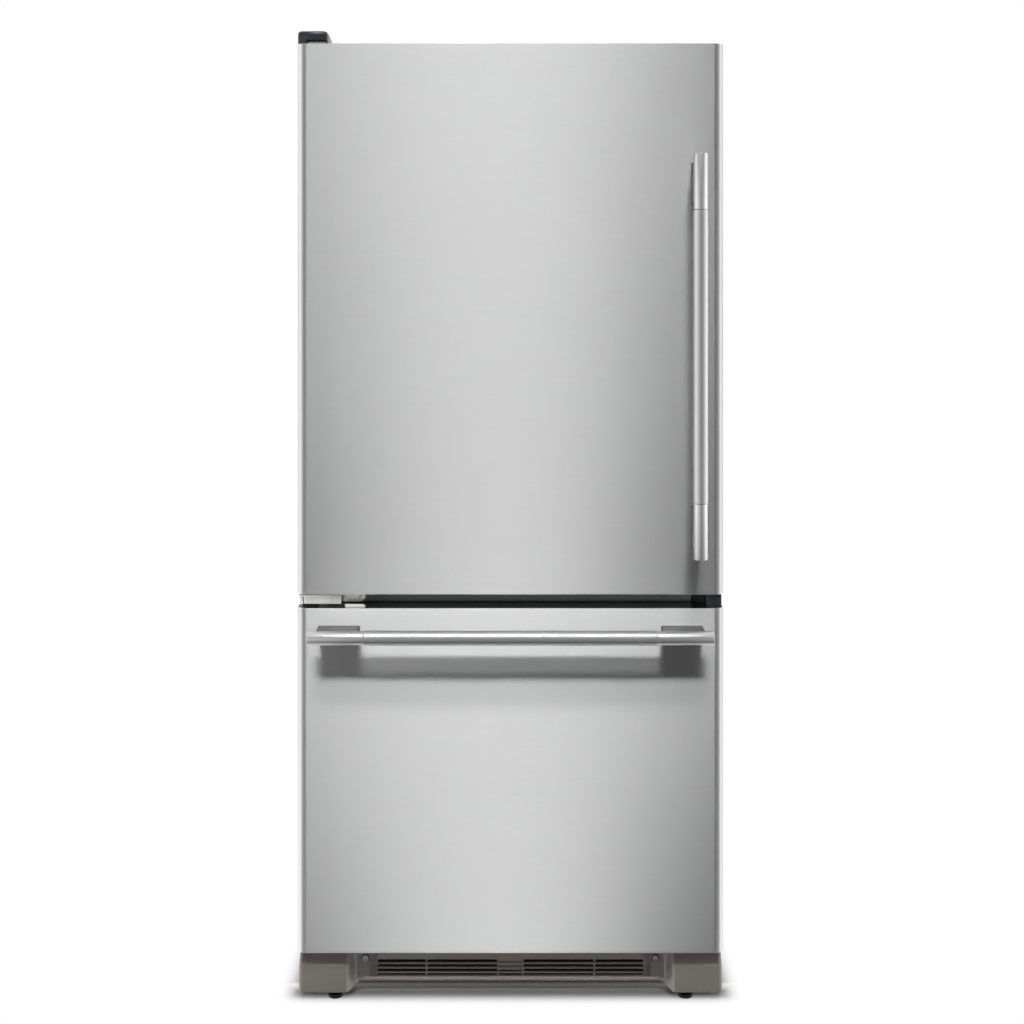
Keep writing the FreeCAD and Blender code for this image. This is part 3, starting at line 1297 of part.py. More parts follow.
def fan(name, axis, radius, hub, depth, blades, x, y, z, bore):
    """A hub with twisted flat blades that turns about its axis, its hub starting at the point."""
    x, y, z = (Size.of(v) for v in (x, y, z))
    pieces = [rod(f"{name}_hub", axis, hub, depth, x, y, z)]
    for number in range(blades):
        blade = doc.addObject("Part::Box", f"{name}_blade_{number}")
        width = D["blade_width"]
        bind(blade, "Length", radius - hub + 3)
        bind(blade, "Width", width)
        bind(blade, "Height", D["blade_sheet"])
        pitch = FreeCAD.Rotation(Vector(1, 0, 0), 35)
        spoke = FreeCAD.Rotation(Vector(0, 0, 1), 360.0 * number / blades)
        face = {"X": FreeCAD.Rotation(Vector(0, 1, 0), 90), "Y": FreeCAD.Rotation(Vector(1, 0, 0), -90)}[axis]
        turned = face.multiply(spoke).multiply(pitch)
        blade.Placement = FreeCAD.Placement(Vector(0, 0, 0), turned)
        root = (hub - 3, width * -0.5, D["blade_sheet"] * -0.5)
        columns = [turned.multVec(Vector(*unit)) for unit in ((1, 0, 0), (0, 1, 0), (0, 0, 1))]
        middle = tuple(v + depth / 2 if a == axis else v for a, v in (("X", x), ("Y", y), ("Z", z)))
        place = []
        for index in range(3):
            place.append(middle[index] + root[0] * round(columns[0][index], 9)
                         + root[1] * round(columns[1][index], 9) + root[2] * round(columns[2][index], 9))
        move_to(blade, *place)
        pieces.append(blade)
    start = tuple(v - 5 if a == axis else v for a, v in (("X", x), ("Y", y), ("Z", z)))
    return cut(name, fuse(f"{name}_solid", pieces), rod(f"{name}_bore", axis, bore, depth + 10, *start))


fan_shaft = D["fan_shaft"]
fan_bore = fan_shaft + D["pin_clearance"]
evap_fan_y = evap_front + ev_sheet + D["fan_front_gap"]
node("evaporator_fan", fan("evaporator_fan", "Y", D["evap_fan_radius"], D["fan_hub"], D["fan_depth"], 5,
                           0, evap_fan_y, fan_z, fan_bore))
motor_y = evap_fan_y + D["fan_depth"] + D["motor_gap"]
strip_y = freezer_back - D["motor_strip"]

room_low = machine_floor
room_high = D["machine_top"] - plate
cond_fan_x = D["cond_fan_x"]
cond_y = (machine_front + cabinet_back) / 2
cond_z = D["cond_fan_z"]
cond_motor_x = cond_fan_x + D["fan_depth"] + D["motor_gap"]
shroud_x = cond_fan_x + D["fan_depth"] / 2
fan_pieces = [
    fuse("evap_motor", [
        rod("evap_motor_can", "Y", D["motor_radius"], strip_y - motor_y + 1, 0, motor_y, fan_z),
        rod("evap_motor_shaft", "Y", fan_shaft, D["fan_depth"] + D["motor_gap"] + 2, 0,
            evap_fan_y - 1, fan_z),
        box("evap_motor_strip", -D["motor_strip_half"], D["motor_strip_half"], strip_y, freezer_back,
            fan_z - 12, fan_z + 12)]),
    fuse("cond_motor", [
        rod("cond_motor_can", "X", D["motor_radius"] + 6, D["cond_motor_length"], cond_motor_x, cond_y,
            cond_z),
        rod("cond_motor_shaft", "X", fan_shaft, D["fan_depth"] + D["motor_gap"] + 2, cond_fan_x - 1, cond_y,
            cond_z),
        box("cond_motor_post", cond_motor_x + 8, cond_motor_x + 20, cond_y - 10, cond_y + 10, room_low,
            cond_z)]),
    cut("fan_shroud",
        box("shroud_block", shroud_x - 1, shroud_x + 1, machine_front + plate,
            cabinet_back - D["shroud_rear_gap"], room_low, room_high - D["shroud_head_gap"]),
        rod("shroud_opening", "X", D["cond_fan_radius"] + D["fan_tip_gap"], 40, shroud_x - 20, cond_y,
            cond_z)),
]
node("fan_motors", group("fan_motors", fan_pieces))
node("condenser_fan", fan("condenser_fan", "X", D["cond_fan_radius"], D["fan_hub"] + 4, D["fan_depth"], 5,
                          cond_fan_x, cond_y, cond_z, fan_bore))

comp_x, comp_r = D["compressor_inset"] - body_half, D["compressor_radius"]
foot_top = room_low + D["grommet_height"]
comp_low = foot_top + D["foot_sheet"]
comp_body = D["compressor_body"]
dome = D["compressor_dome"]


def frustum(name, r0, r1, height, x, y, z):
    """A cone cut short, standing on its first radius."""
    cone = doc.addObject("Part::Cone", name)
    bind(cone, "Radius1", r0)
    bind(cone, "Radius2", r1)
    bind(cone, "Height", height)
    return move_to(cone, x, y, z)


comp_pieces = [
    box("compressor_foot", comp_x - D["foot_half"], comp_x + D["foot_half"], cond_y - D["foot_half"],
        cond_y + D["foot_half"], foot_top, comp_low),
    frustum("compressor_base", comp_r * 0.7, comp_r, dome, comp_x, cond_y, comp_low - 1),
    rod("compressor_can", "Z", comp_r, comp_body, comp_x, cond_y, comp_low - 1 + dome),
    frustum("compressor_dome", comp_r, comp_r * 0.5, dome, comp_x, cond_y, comp_low - 1 + dome + comp_body),
    box("compressor_terminals", comp_x + comp_r - 8, comp_x + comp_r + 18, cond_y - 22, cond_y + 22,
        comp_low + dome, comp_low + dome + 45),
]
for sx in (-1, 1):
    for sy in (-1, 1):
        comp_pieces.append(rod(f"grommet_{sx + 1}_{sy + 1}", "Z", D["grommet_radius"], D["grommet_height"],
                               comp_x + (D["foot_half"] - 14) * sx, cond_y + (D["foot_half"] - 14) * sy,
                               room_low))
node("compressor", fuse("compressor", comp_pieces))

pan_x1 = body_half - D["pan_inset"]
pan_x0 = pan_x1 - D["pan_length"]
pan_y0, pan_y1 = machine_front + D["pan_margin"], cabinet_back - D["pan_margin"]
node("drain_pan", cut("drain_pan",
     box("pan_block", pan_x0, pan_x1, pan_y0, pan_y1, room_low, room_low + D["pan_height"]),
     box("pan_hollow", pan_x0 + 2, pan_x1 - 2, pan_y0 + 2, pan_y1 - 2, room_low + 2,
         room_low + D["pan_height"] + 5)))
rig_x0, rig_x1 = pan_x0 - D["rig_gap"], pan_x1 + D["rig_gap"]
line_z = room_high - D["line_drop"]
rig = [
    box("cond_plate_left", rig_x0 - 1.5, rig_x0, pan_y0 + 10, pan_y1 - 10, room_low,
        room_low + D["rig_height"]),
    box("cond_plate_right", rig_x1, rig_x1 + 1.5, pan_y0 + 10, pan_y1 - 10, room_low,
        room_low + D["rig_height"]),
]
cond_tube = D["cond_tube"]
bend = cond_tube + D["bend_swell"]
bend_right, bend_left = rig_x1 + 12 - bend * 1.5, rig_x0 - 12 + bend * 1.5
cond_rows, cond_columns = 5, 4
for column in range(cond_columns):
    y = pan_y0 + D["cond_margin"] + D["cond_pitch"] * column
    for row in range(cond_rows):
        z = room_low + D["cond_rise"] + D["cond_row_pitch"] * row
        rig.append(rod(f"cond_tube_{column}_{row}", "X", cond_tube, rig_x1 - rig_x0 + 24, rig_x0 - 12, y, z))
        if row:
            x = bend_right if row % 2 else bend_left
            rig.append(rod(f"cond_bend_{column}_{row}", "Z", bend, D["cond_row_pitch"], x, y,
                           z - D["cond_row_pitch"]))
first_y = pan_y0 + D["cond_margin"]
last_z = room_low + D["cond_rise"] + D["cond_row_pitch"] * (cond_rows - 1)
for column in range(cond_columns - 1):
    y = first_y + D["cond_pitch"] * column
    z = last_z if column % 2 == 0 else room_low + D["cond_rise"]
    x = bend_right if column % 2 == 0 else bend_left
    rig.append(rod(f"cond_cross_{column}", "Y", bend * 1.2, D["cond_pitch"], x, y, z))
rig += [
    rod("discharge_line", "X", cond_tube, bend_left - comp_x, comp_x, first_y, line_z),
    rod("discharge_drop", "Z", bend, line_z - room_low - D["cond_rise"], bend_left - bend * 3, first_y,
        room_low + D["cond_rise"]),
    rod("discharge_foot", "X", cond_tube, bend * 3 + 2, bend_left - bend * 3, first_y,
        room_low + D["cond_rise"]),
    rod("discharge_riser", "Z", bend, line_z - comp_low - dome * 1.6 - comp_body, comp_x, first_y,
        comp_low + dome * 1.6 + comp_body),
]
node("condenser", fuse("condenser", rig))

cover_out = cabinet_back - D["rear_cover_inset"]
cover_sheet = D["rear_cover_sheet"]
rear_half = inner_half - plate - D["rear_cover_side"]
vents = []
for side, name in SIDES:
    for i in range(9):
        x = D["vent_start"] + D["vent_pitch"] * i
        vents.append(box(f"vent_{name}_{i}", *on_side(side, x, x + D["vent_width"]), cover_out - 10,
                         cover_out + 5, D["vent_low"], D["vent_low"] + D["vent_height"]))
rear_screws = []
for side, name in SIDES:
    for z_name, z in (("low", room_low + 16), ("high", room_high - 16)):
        rear_screws.append(screw_hole(f"rear_{name}_{z_name}", "Y", 1, (rear_half - 12) * side, cover_out, z,
                                      cover_sheet))
inlet_x = D["inlet_inset"] - body_half
node("machine_cover", cut("machine_cover", fuse("machine_cover_solid", [
    box("machine_cover_sheet", -rear_half, rear_half, cover_out - cover_sheet, cover_out, room_low,
        room_high),
    box("cord_inlet_block", inlet_x - 18, inlet_x + 18, cover_out - 28, cover_out - 1, D["inlet_z"] - 13,
        D["inlet_z"] + 13)]), vents + rear_screws + [
    box("cord_inlet_hollow", inlet_x - 14, inlet_x + 14, cover_out - 22, cover_out + 5, D["inlet_z"] - 9,
        D["inlet_z"] + 9)]))

node("screws", group("screws", SCREWS))

# ---------------------------------------------------------------------------------------- check and write out
doc.recompute()
faults = [f"{obj.Label}: {', '.join(obj.State)}" for obj in doc.Objects
          if "Invalid" in obj.State or "Error" in obj.State]
for obj in NODES:
    shape = getattr(obj, "Shape", None)
    if shape is None or shape.isNull() or not shape.isValid() or not shape.Solids:
        faults.append(f"{obj.Label}: no valid solid")
if faults:
    raise SystemExit("part.py stopped: " + "; ".join(faults))

os.makedirs("parts", exist_ok=True)
for obj in NODES:
    obj.Shape.exportStep(os.path.join("parts", f"{obj.Label}.step"))
print(f"{len(NODES)} pieces written")
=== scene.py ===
"""Looks of the bottom freezer refrigerator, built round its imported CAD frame.

Lengths are in millimetres of the row frame until a mesh is made."""
import math

import bmesh
import bpy
from mathutils import Matrix, Vector


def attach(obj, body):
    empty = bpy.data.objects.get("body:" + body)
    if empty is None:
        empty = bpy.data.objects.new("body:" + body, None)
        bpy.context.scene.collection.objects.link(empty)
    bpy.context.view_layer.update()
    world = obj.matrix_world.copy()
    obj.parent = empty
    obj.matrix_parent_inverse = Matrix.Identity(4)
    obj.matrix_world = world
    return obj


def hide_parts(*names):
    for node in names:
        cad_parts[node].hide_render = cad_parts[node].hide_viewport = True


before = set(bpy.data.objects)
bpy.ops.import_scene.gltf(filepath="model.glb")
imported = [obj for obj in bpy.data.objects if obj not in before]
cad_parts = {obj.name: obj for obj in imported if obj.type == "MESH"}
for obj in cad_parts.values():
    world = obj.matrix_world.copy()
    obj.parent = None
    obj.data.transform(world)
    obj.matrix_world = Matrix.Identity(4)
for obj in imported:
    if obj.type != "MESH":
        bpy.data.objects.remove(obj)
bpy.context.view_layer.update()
MM = 0.001
SIDES = ((-1, "left"), (1, "right"))
HALF = 375                                        # half the doors' width
FACE, BACK, CABINET = -345.75, -285.75, -270.75   # y of the doors' faces and backs and of the cabinet's front
DOOR, DRAWER = (722, 1688), (94, 698)             # z of the low and high ends of the two skins
CORNER, SHEET, CAP = 18, 1.4, 14                  # the skins' corner radius and thickness, the caps' height


# ------------------------------------------------------------------------------------------ materials
def tone(red, green=None, blue=None):
    """A colour written as 0 to 255 on screen, as the linear colour a shader takes."""
    values = (red, red if green is None else green, red if blue is None else blue)
    return tuple(v / 255 / 12.92 if v < 10.3 else ((v / 255 + 0.055) / 1.055) ** 2.4 for v in values) + (1.0,)


def noise(tree, stretch, scale, detail=3.0, rough=0.6):
    """Noise laid out in the piece's own coordinates, which are the row's, stretched along the axes."""
    place = tree.nodes.new("ShaderNodeTexCoord")
    mapping = tree.nodes.new("ShaderNodeMapping")
    mapping.inputs["Scale"].default_value = stretch
    texture = tree.nodes.new("ShaderNodeTexNoise")
    texture.inputs["Scale"].default_value = scale
    texture.inputs["Detail"].default_value = detail
    texture.inputs["Roughness"].default_value = rough
    tree.links.new(place.outputs["Object"], mapping.inputs["Vector"])
    tree.links.new(mapping.outputs["Vector"], texture.inputs["Vector"])
    return texture.outputs["Fac"]


def maths(tree, operation, *values):
    """A Math node fed by numbers and sockets."""
    node = tree.nodes.new("ShaderNodeMath")
    node.operation = operation
    for socket, value in zip(node.inputs, values):
        if isinstance(value, (int, float)):
            socket.default_value = value
        else:
            tree.links.new(value, socket)
    return node.outputs[0]


def finish(name, colour, rough, metal=0.0, grain=(1, 1, 1), scale=900, tint=0.05, cloud=0.03, cloud_scale=7,
           vary=0.05, bump=0.08, depth=0.15, tangent=False, spangle=0, **sockets):
    """A finish whose colour, roughness and relief all follow a fine grain and a wide, faint cloud.

    grain stretches the fine noise of the given scale, tint and cloud are how much the two change the colour,
    vary is how much the grain changes the roughness, depth is the relief's in millimetres, tangent sets the
    scratches round the upright axis, and spangle mixes in the crystals of a zinc coat."""
    material = bpy.data.materials.new(name)
    material.use_nodes = True
    tree = material.node_tree
    shade = tree.nodes["Principled BSDF"]
    fine = noise(tree, grain, scale)
    if spangle:
        cells = tree.nodes.new("ShaderNodeTexVoronoi")
        cells.inputs["Scale"].default_value = spangle
        place = tree.nodes.new("ShaderNodeTexCoord")
        tree.links.new(place.outputs["Object"], cells.inputs["Vector"])
        split = tree.nodes.new("ShaderNodeSeparateColor")
        tree.links.new(cells.outputs["Color"], split.inputs["Color"])
        fine = maths(tree, "ADD", maths(tree, "MULTIPLY", fine, 0.35),
                     maths(tree, "MULTIPLY", split.outputs[0], 0.65))
    wide = noise(tree, (1, 1, 1), cloud_scale, 2.0)
    level = maths(tree, "MULTIPLY", maths(tree, "MULTIPLY_ADD", fine, tint * 2, 1 - tint),
                  maths(tree, "MULTIPLY_ADD", wide, cloud * 2, 1 - cloud))
    paint = tree.nodes.new("ShaderNodeVectorMath")
    paint.operation = "SCALE"
    paint.inputs[0].default_value = colour[:3]
    tree.links.new(level, paint.inputs["Scale"])
    tree.links.new(paint.outputs[0], shade.inputs["Base Color"])
    tree.links.new(maths(tree, "MULTIPLY_ADD", fine, vary * 2, rough - vary), shade.inputs["Roughness"])
    relief = tree.nodes.new("ShaderNodeBump")
    relief.inputs["Strength"].default_value = bump
    relief.inputs["Distance"].default_value = depth * MM
    tree.links.new(fine, relief.inputs["Height"])
    tree.links.new(relief.outputs["Normal"], shade.inputs["Normal"])
    shade.inputs["Metallic"].default_value = metal
    if tangent:
        along = tree.nodes.new("ShaderNodeTangent")
        along.direction_type = "RADIAL"
        along.axis = "Z"
        tree.links.new(along.outputs["Tangent"], shade.inputs["Tangent"])
    for socket, value in sockets.items():
        shade.inputs[socket.replace("_", " ")].default_value = value
    return material


LOOKS = {
    # brushed sheet: long level scratches, so what it mirrors is drawn out up and down
    "stainless": finish("brushed_stainless", tone(243), 0.53, 1.0, (14, 14, 900), 1, 0.03, 0.01, 5, 0.03, 0.02,
                        0.04, True, Anisotropic=1.0, Anisotropic_Rotation=0.25),
    "handle_tube": finish("satin_tube", tone(216), 0.46, 1.0, (900, 900, 20), 1, 0.03, 0.01, 9, 0.03, 0.03,
                          0.04),
    "handle_metal": finish("satin_ferrule", tone(230), 0.42, 1.0, (700, 700, 700), 1, 0.02, 0.01, 9, 0.03, 0.02,
                           0.03),
    # painted shade: the posts are a darker copy of the ferrules' satin metal, standing in for the shade between
    # the tube and the door
    "handle_posts_painted_shade": finish("satin_post_painted_shade", tone(150), 0.4, 1.0, (700, 700, 700), 1, 0.03, 0.02, 9, 0.04, 0.02,
                           0.03),
    "cabinet_paint": finish("charcoal_enamel", tone(70, 71, 73), 0.46, scale=620, tint=0.1, cloud=0.04,
                            bump=0.35, depth=0.25, Specular_IOR_Level=0.45),
    "rail_paint": finish("silver_enamel", tone(196, 197, 198), 0.4, 0.3, scale=620, tint=0.06, bump=0.1,
                         depth=0.2),
    "back_sheet": finish("grey_back_sheet", tone(150, 152, 153), 0.5, 0.5, scale=420, tint=0.05, bump=0.15,
                         spangle=90),
    "zinc_steel": finish("zinc_steel", tone(172, 175, 178), 0.4, 0.9, scale=300, tint=0.16, vary=0.1, bump=0.06,
                         spangle=150),
    "hinge_steel": finish("bright_plated_steel", tone(248, 248, 246), 0.2, 0.3, scale=900, tint=0.02,
                          cloud=0.03, cloud_scale=20, vary=0.02, bump=0.02, depth=0.05),
    "liner": finish("gloss_white_liner", tone(236, 238, 238), 0.3, scale=160, tint=0.008, cloud=0.012,
                    bump=0.03, depth=0.4, Coat_Weight=0.15),
    "white_plastic": finish("white_moulding", tone(230, 232, 232), 0.38, scale=900, tint=0.015, cloud=0.015,
                            bump=0.08, depth=0.1),
    "foam": finish("rigid_foam", tone(226, 205, 150), 0.85, scale=260, tint=0.14, cloud=0.1, bump=0.6,
                   depth=0.8),
    "dark_plastic": finish("dark_grained_plastic", tone(44, 45, 47), 0.24, scale=1300, tint=0.08, cloud=0.05,
                           bump=0.12, depth=0.1),
    # painted shade: this black is used only for the sheet and rings behind the grille that stand in for shade
    "gloss_black": finish("painted_shade_black_sheet", tone(16, 16, 17), 0.12, scale=700, tint=0.1, vary=0.03,
                          bump=0.02, depth=0.1, Coat_Weight=0.3),
    "grille_plastic": finish("pewter_moulding", tone(130, 125, 119), 0.42, 0.35, scale=1500, tint=0.06,
                             cloud=0.05, bump=0.1, depth=0.08),
    "gasket": finish("grey_vinyl_seal", tone(78, 79, 81), 0.55, scale=500, tint=0.06, cloud=0.06, bump=0.1,
                     Specular_IOR_Level=0.35),
    "shelf_glass": finish("shelf_glass", tone(226, 240, 235), 0.06, scale=60, tint=0.02, vary=0.03, bump=0.0,
                          Alpha=0.22, IOR=1.5, Specular_IOR_Level=0.6, Coat_Weight=0.6),
    "clear_plastic": finish("clear_moulding", tone(240, 243, 244), 0.1, scale=40, tint=0.02, vary=0.04,
                            bump=0.02, Alpha=0.3, IOR=1.49, Coat_Weight=0.4),
    "lens": finish("milky_lens", tone(246, 246, 240), 0.35, 0.0, (1, 900, 1), 1, tint=0.02, bump=0.2, depth=0.4,
                   Subsurface_Weight=0.3),
    "fins": finish("mill_aluminium", tone(196, 198, 200), 0.38, 0.9, scale=500, tint=0.08, vary=0.08),
    "motor": finish("motor_black", tone(60, 61, 64), 0.45, 0.2, scale=700, tint=0.1, cloud=0.08, bump=0.15),
    "black_enamel": finish("black_enamel", tone(24, 24, 26), 0.22, scale=240, tint=0.1, cloud=0.05, bump=0.1,
                           depth=0.3, Coat_Weight=0.4),
    "condenser": finish("painted_wire", tone(34, 34, 36), 0.38, 0.2, scale=500, tint=0.12, cloud=0.1,
                        bump=0.12),
    "rubber": finish("black_rubber", tone(27, 27, 28), 0.62, scale=900, tint=0.14, cloud=0.08, bump=0.2,
                     Specular_IOR_Level=0.3),
    "screw_steel": finish("zinc_screws", tone(196, 196, 192), 0.3, 1.0, scale=1500, tint=0.08, vary=0.06,
                          bump=0.1),
}


# ------------------------------------------------------------------------------------------ mesh helpers
def on(axis, outline, depth):
    """The 2-D outline, in the other two axes in x, y, z order, set at depth along axis."""
    if axis == "X":
        return [(depth, u, v) for u, v in outline]
    if axis == "Y":
        return [(u, depth, v) for u, v in outline]
    return [(u, v, depth) for u, v in outline]


def rounded(x0, x1, y0, y1, radii, steps=6):
    """A rectangle with rounded corners; radii is one radius, or one each from corner x0 y0 round by x1 y0."""
    if isinstance(radii, (int, float)):
        radii = (radii,) * 4
    corners = ((x0, y0, 1, 1), (x1, y0, -1, 1), (x1, y1, -1, -1), (x0, y1, 1, -1))
    points = []
    for turn, (cx, cy, sx, sy) in enumerate(corners):
        radius = max(radii[turn], 0.02)
        for step in range(steps + 1):
            angle = math.radians(180 + 90 * turn + 90 * step / steps)
            points.append((cx + sx * radius + radius * math.cos(angle),
                           cy + sy * radius + radius * math.sin(angle)))
    return points


def circle(cu, cv, radius, steps=32):
    """The points of a circle round cu, cv."""
    return [(cu + radius * math.cos(math.tau * i / steps), cv + radius * math.sin(math.tau * i / steps))
            for i in range(steps)]


def smooth(value, start, end):
    """0 before start, 1 after end, and a smooth rise between them."""
    t = min(1.0, max(0.0, (value - start) / (end - start)))
    return t * t * (3 - 2 * t)


class Form:
    """The faces of one piece while it is made."""

    def __init__(self):
        self.mesh = bmesh.new()

    def loft(self, rings, loop=False):
        """Joins rings of equally many points into a skin, closed by caps or, with loop, end to end."""
        rows = [[self.mesh.verts.new([c * MM for c in point]) for point in ring] for ring in rings]
        for first, second in list(zip(rows, rows[1:])) + ([(rows[-1], rows[0])] if loop else []):
            for i in range(len(first)):
                j = (i + 1) % len(first)
                self.mesh.faces.new((first[i], first[j], second[j], second[i]))
        if not loop:
            self.mesh.faces.new(rows[0][::-1])
            self.mesh.faces.new(rows[-1])
        return self

    def prism(self, axis, outline, low, high):
        """Draws the 2-D outline out along axis from low to high."""
        return self.loft([on(axis, outline, low), on(axis, outline, high)])

    def block(self, x, y, z, soft=0.6, steps=2):
        """A block between the pairs x, y and z with its edges rounded by soft."""
        low, high = Vector((min(x), min(y), min(z))), Vector((max(x), max(y), max(z)))
        place = Matrix.Translation((low + high) / 2 * MM) @ Matrix.Diagonal(((high - low) * MM).to_4d())
        place[3][3] = 1
        made = bmesh.ops.create_cube(self.mesh, size=1, matrix=place)["verts"]
        if soft:
            edges = list({edge for vert in made for edge in vert.link_edges})
            soft = min(soft, min(high - low) * 0.49)
            bmesh.ops.bevel(self.mesh, geom=edges, offset=soft * MM, segments=steps, profile=0.5,
                            affect="EDGES")
        return self

    def lathe(self, axis, centre, profile, steps=40):
        """Turns (distance along axis, radius) pairs about the axis through centre, closed at both ends."""
        cu, cv = centre
        return self.loft([on(axis, circle(cu, cv, radius, steps), depth) for depth, radius in profile])

    def ring(self, axis, centre, profile, steps=40):
        """As lathe, for a closed profile that keeps off the axis."""
        cu, cv = centre
        return self.loft([on(axis, circle(cu, cv, radius, steps), depth) for depth, radius in profile],
                         loop=True)


def piece(form, name, body, slot, *replaced, look=None, bevel=0.0, sharp=38):
    """Turns the form into the piece called name, which rides on body and stands for the replaced nodes."""
    mesh = bpy.data.meshes.new(name)
    bmesh.ops.recalc_face_normals(form.mesh, faces=form.mesh.faces)
    form.mesh.to_mesh(mesh)
    form.mesh.free()
    mesh.shade_smooth()
    mesh.set_sharp_from_angle(angle=math.radians(sharp))
    obj = bpy.data.objects.new(name, mesh)
    bpy.context.scene.collection.objects.link(obj)
    mesh.materials.append(look or LOOKS[slot])
    if bevel:
        soften(obj, bevel)
    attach(obj, body)
    if replaced:
        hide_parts(*replaced)
    return obj


def soften(obj, width):
    """Rounds the edges of a piece or CAD node with modifiers, which leave its own mesh as it is."""
    weld = obj.modifiers.new("weld", "WELD")
    weld.merge_threshold = 0.01 * MM
    edge = obj.modifiers.new("bevel", "BEVEL")
    edge.width = width * MM
    edge.segments = 2
    edge.limit_method = "ANGLE"
    edge.angle_limit = math.radians(35)
    edge.harden_normals = True
    edge.use_clamp_overlap = True


def tub(form, x, y, z, wall=2.5, radius=14, lip=3, draft=3, rim=3):
    """An open-topped moulding between the pairs x, y and z, with drafted walls and a turned-out rim."""
    (x0, x1), (y0, y1), (z0, z1) = x, y, z

    def ring(inset, height, corner):
        return on("Z", rounded(x0 + inset, x1 - inset, y0 + inset, y1 - inset, max(corner, 1), 5), height)
    low = lip + draft
    outside = [ring(low + 6, z0, radius - 4), ring(low + 2, z0 + 1.2, radius - 1),
               ring(low + 0.4, z0 + 4.5, radius), ring(lip, z1 - rim - 1, radius),
               ring(lip - 1, z1 - rim, radius), ring(0.4, z1 - rim, radius + lip),
               ring(0, z1 - rim + 0.4, radius + lip), ring(0, z1 - 0.6, radius + lip),
               ring(0.6, z1, radius + lip)]
    inside = [ring(lip + wall - 0.8, z1, radius), ring(lip + wall, z1 - 0.8, radius - 1),
              ring(low + wall + 0.4, z0 + wall + 4.5, radius - 2),
              ring(low + wall + 2, z0 + wall + 1.2, radius - 3), ring(low + wall + 6, z0 + wall, radius - 6)]
    return form.loft(outside + inside)


# ------------------------------------------------------------------------------------------ doors' outsides
def skin(name, body, low, high, node):
    """The wrapped sheet of one door: rounded upright edges, rolled ends and an inner face 1.3 mm in."""
    def wrap(inset, height):
        return on("Z", rounded(-HALF + inset, HALF - inset, FACE + inset, BACK - inset,
                               [CORNER - inset, CORNER - inset, 1.5, 1.5], 14), height)
    form = Form()
    form.loft([wrap(1.1, low), wrap(0.5, low + 0.1), wrap(0.1, low + 0.6), wrap(0, low + 1.4),
               wrap(0, high - 1.4), wrap(0.1, high - 0.6), wrap(0.5, high - 0.1), wrap(1.1, high),
               wrap(1.3, high - 0.8), wrap(1.3, low + 0.8)], loop=True)
    piece(form, name, body, "stainless", node)


def end_cap(form, low, high, out, dish=1.6):
    """A moulded cap inside the skin; its dished outer face looks up where out is +1 and down where it is -1."""
    base, top = (low, high) if out > 0 else (high, low)

    def plan(inset, height):
        radius = CORNER - SHEET - min(inset, 12)
        return on("Z", rounded(-HALF + SHEET + inset, HALF - SHEET - inset, FACE + SHEET + inset,
                               BACK - 0.2 - inset, [radius, radius, 2, 2], 8), height)
    form.loft([plan(0.2, base), plan(0, base + out * 2), plan(0, top - out * 1.2), plan(1.2, top), plan(5, top),
               plan(6, top - out * dish), plan(20, top - out * dish)])
    return form


def end_caps(low, high, dish=1.6):
    """Both caps of the skin between low and high, the upper one dished by dish."""
    return end_cap(end_cap(Form(), low, low + CAP, -1), high - CAP, high, 1, dish)


skin("door_wrap", "door", *DOOR, "door_skin")
skin("drawer_wrap", "drawer", *DRAWER, "drawer_skin")
piece(end_caps(*DOOR), "door_caps", "door", "dark_plastic", "door_end_caps")
caps = end_caps(*DRAWER, 0.4)
# the corner block that fills the gap at the handle side
caps.block((344.5, 371.5), (-335.75, -302.75), (696, 720.7), 2.2, 3)
caps.block((348.5, 367.5), (-331.75, -306.75), (719, 720.7), 0.6, 1)
piece(caps, "drawer_caps", "drawer", "dark_plastic", "drawer_end_caps")

HANDLE_Y = -396.55                                      # the tubes' middle lines
TUBE_END, FERRULE_END, POST_AT = 251.4, 348.5, 300.5    # places along a handle, from its middle
POST_LENGTH, POST_WIDTH = 72, 18


def foot_of(ring, spread=0.7):
    """The x and z extent of a post's end, grown a little for the washer it stands on."""
    xs, zs = [p[0] for p in ring], [p[2] for p in ring]
    return min(xs) - spread, max(xs) + spread, min(zs) - spread, max(zs) + spread


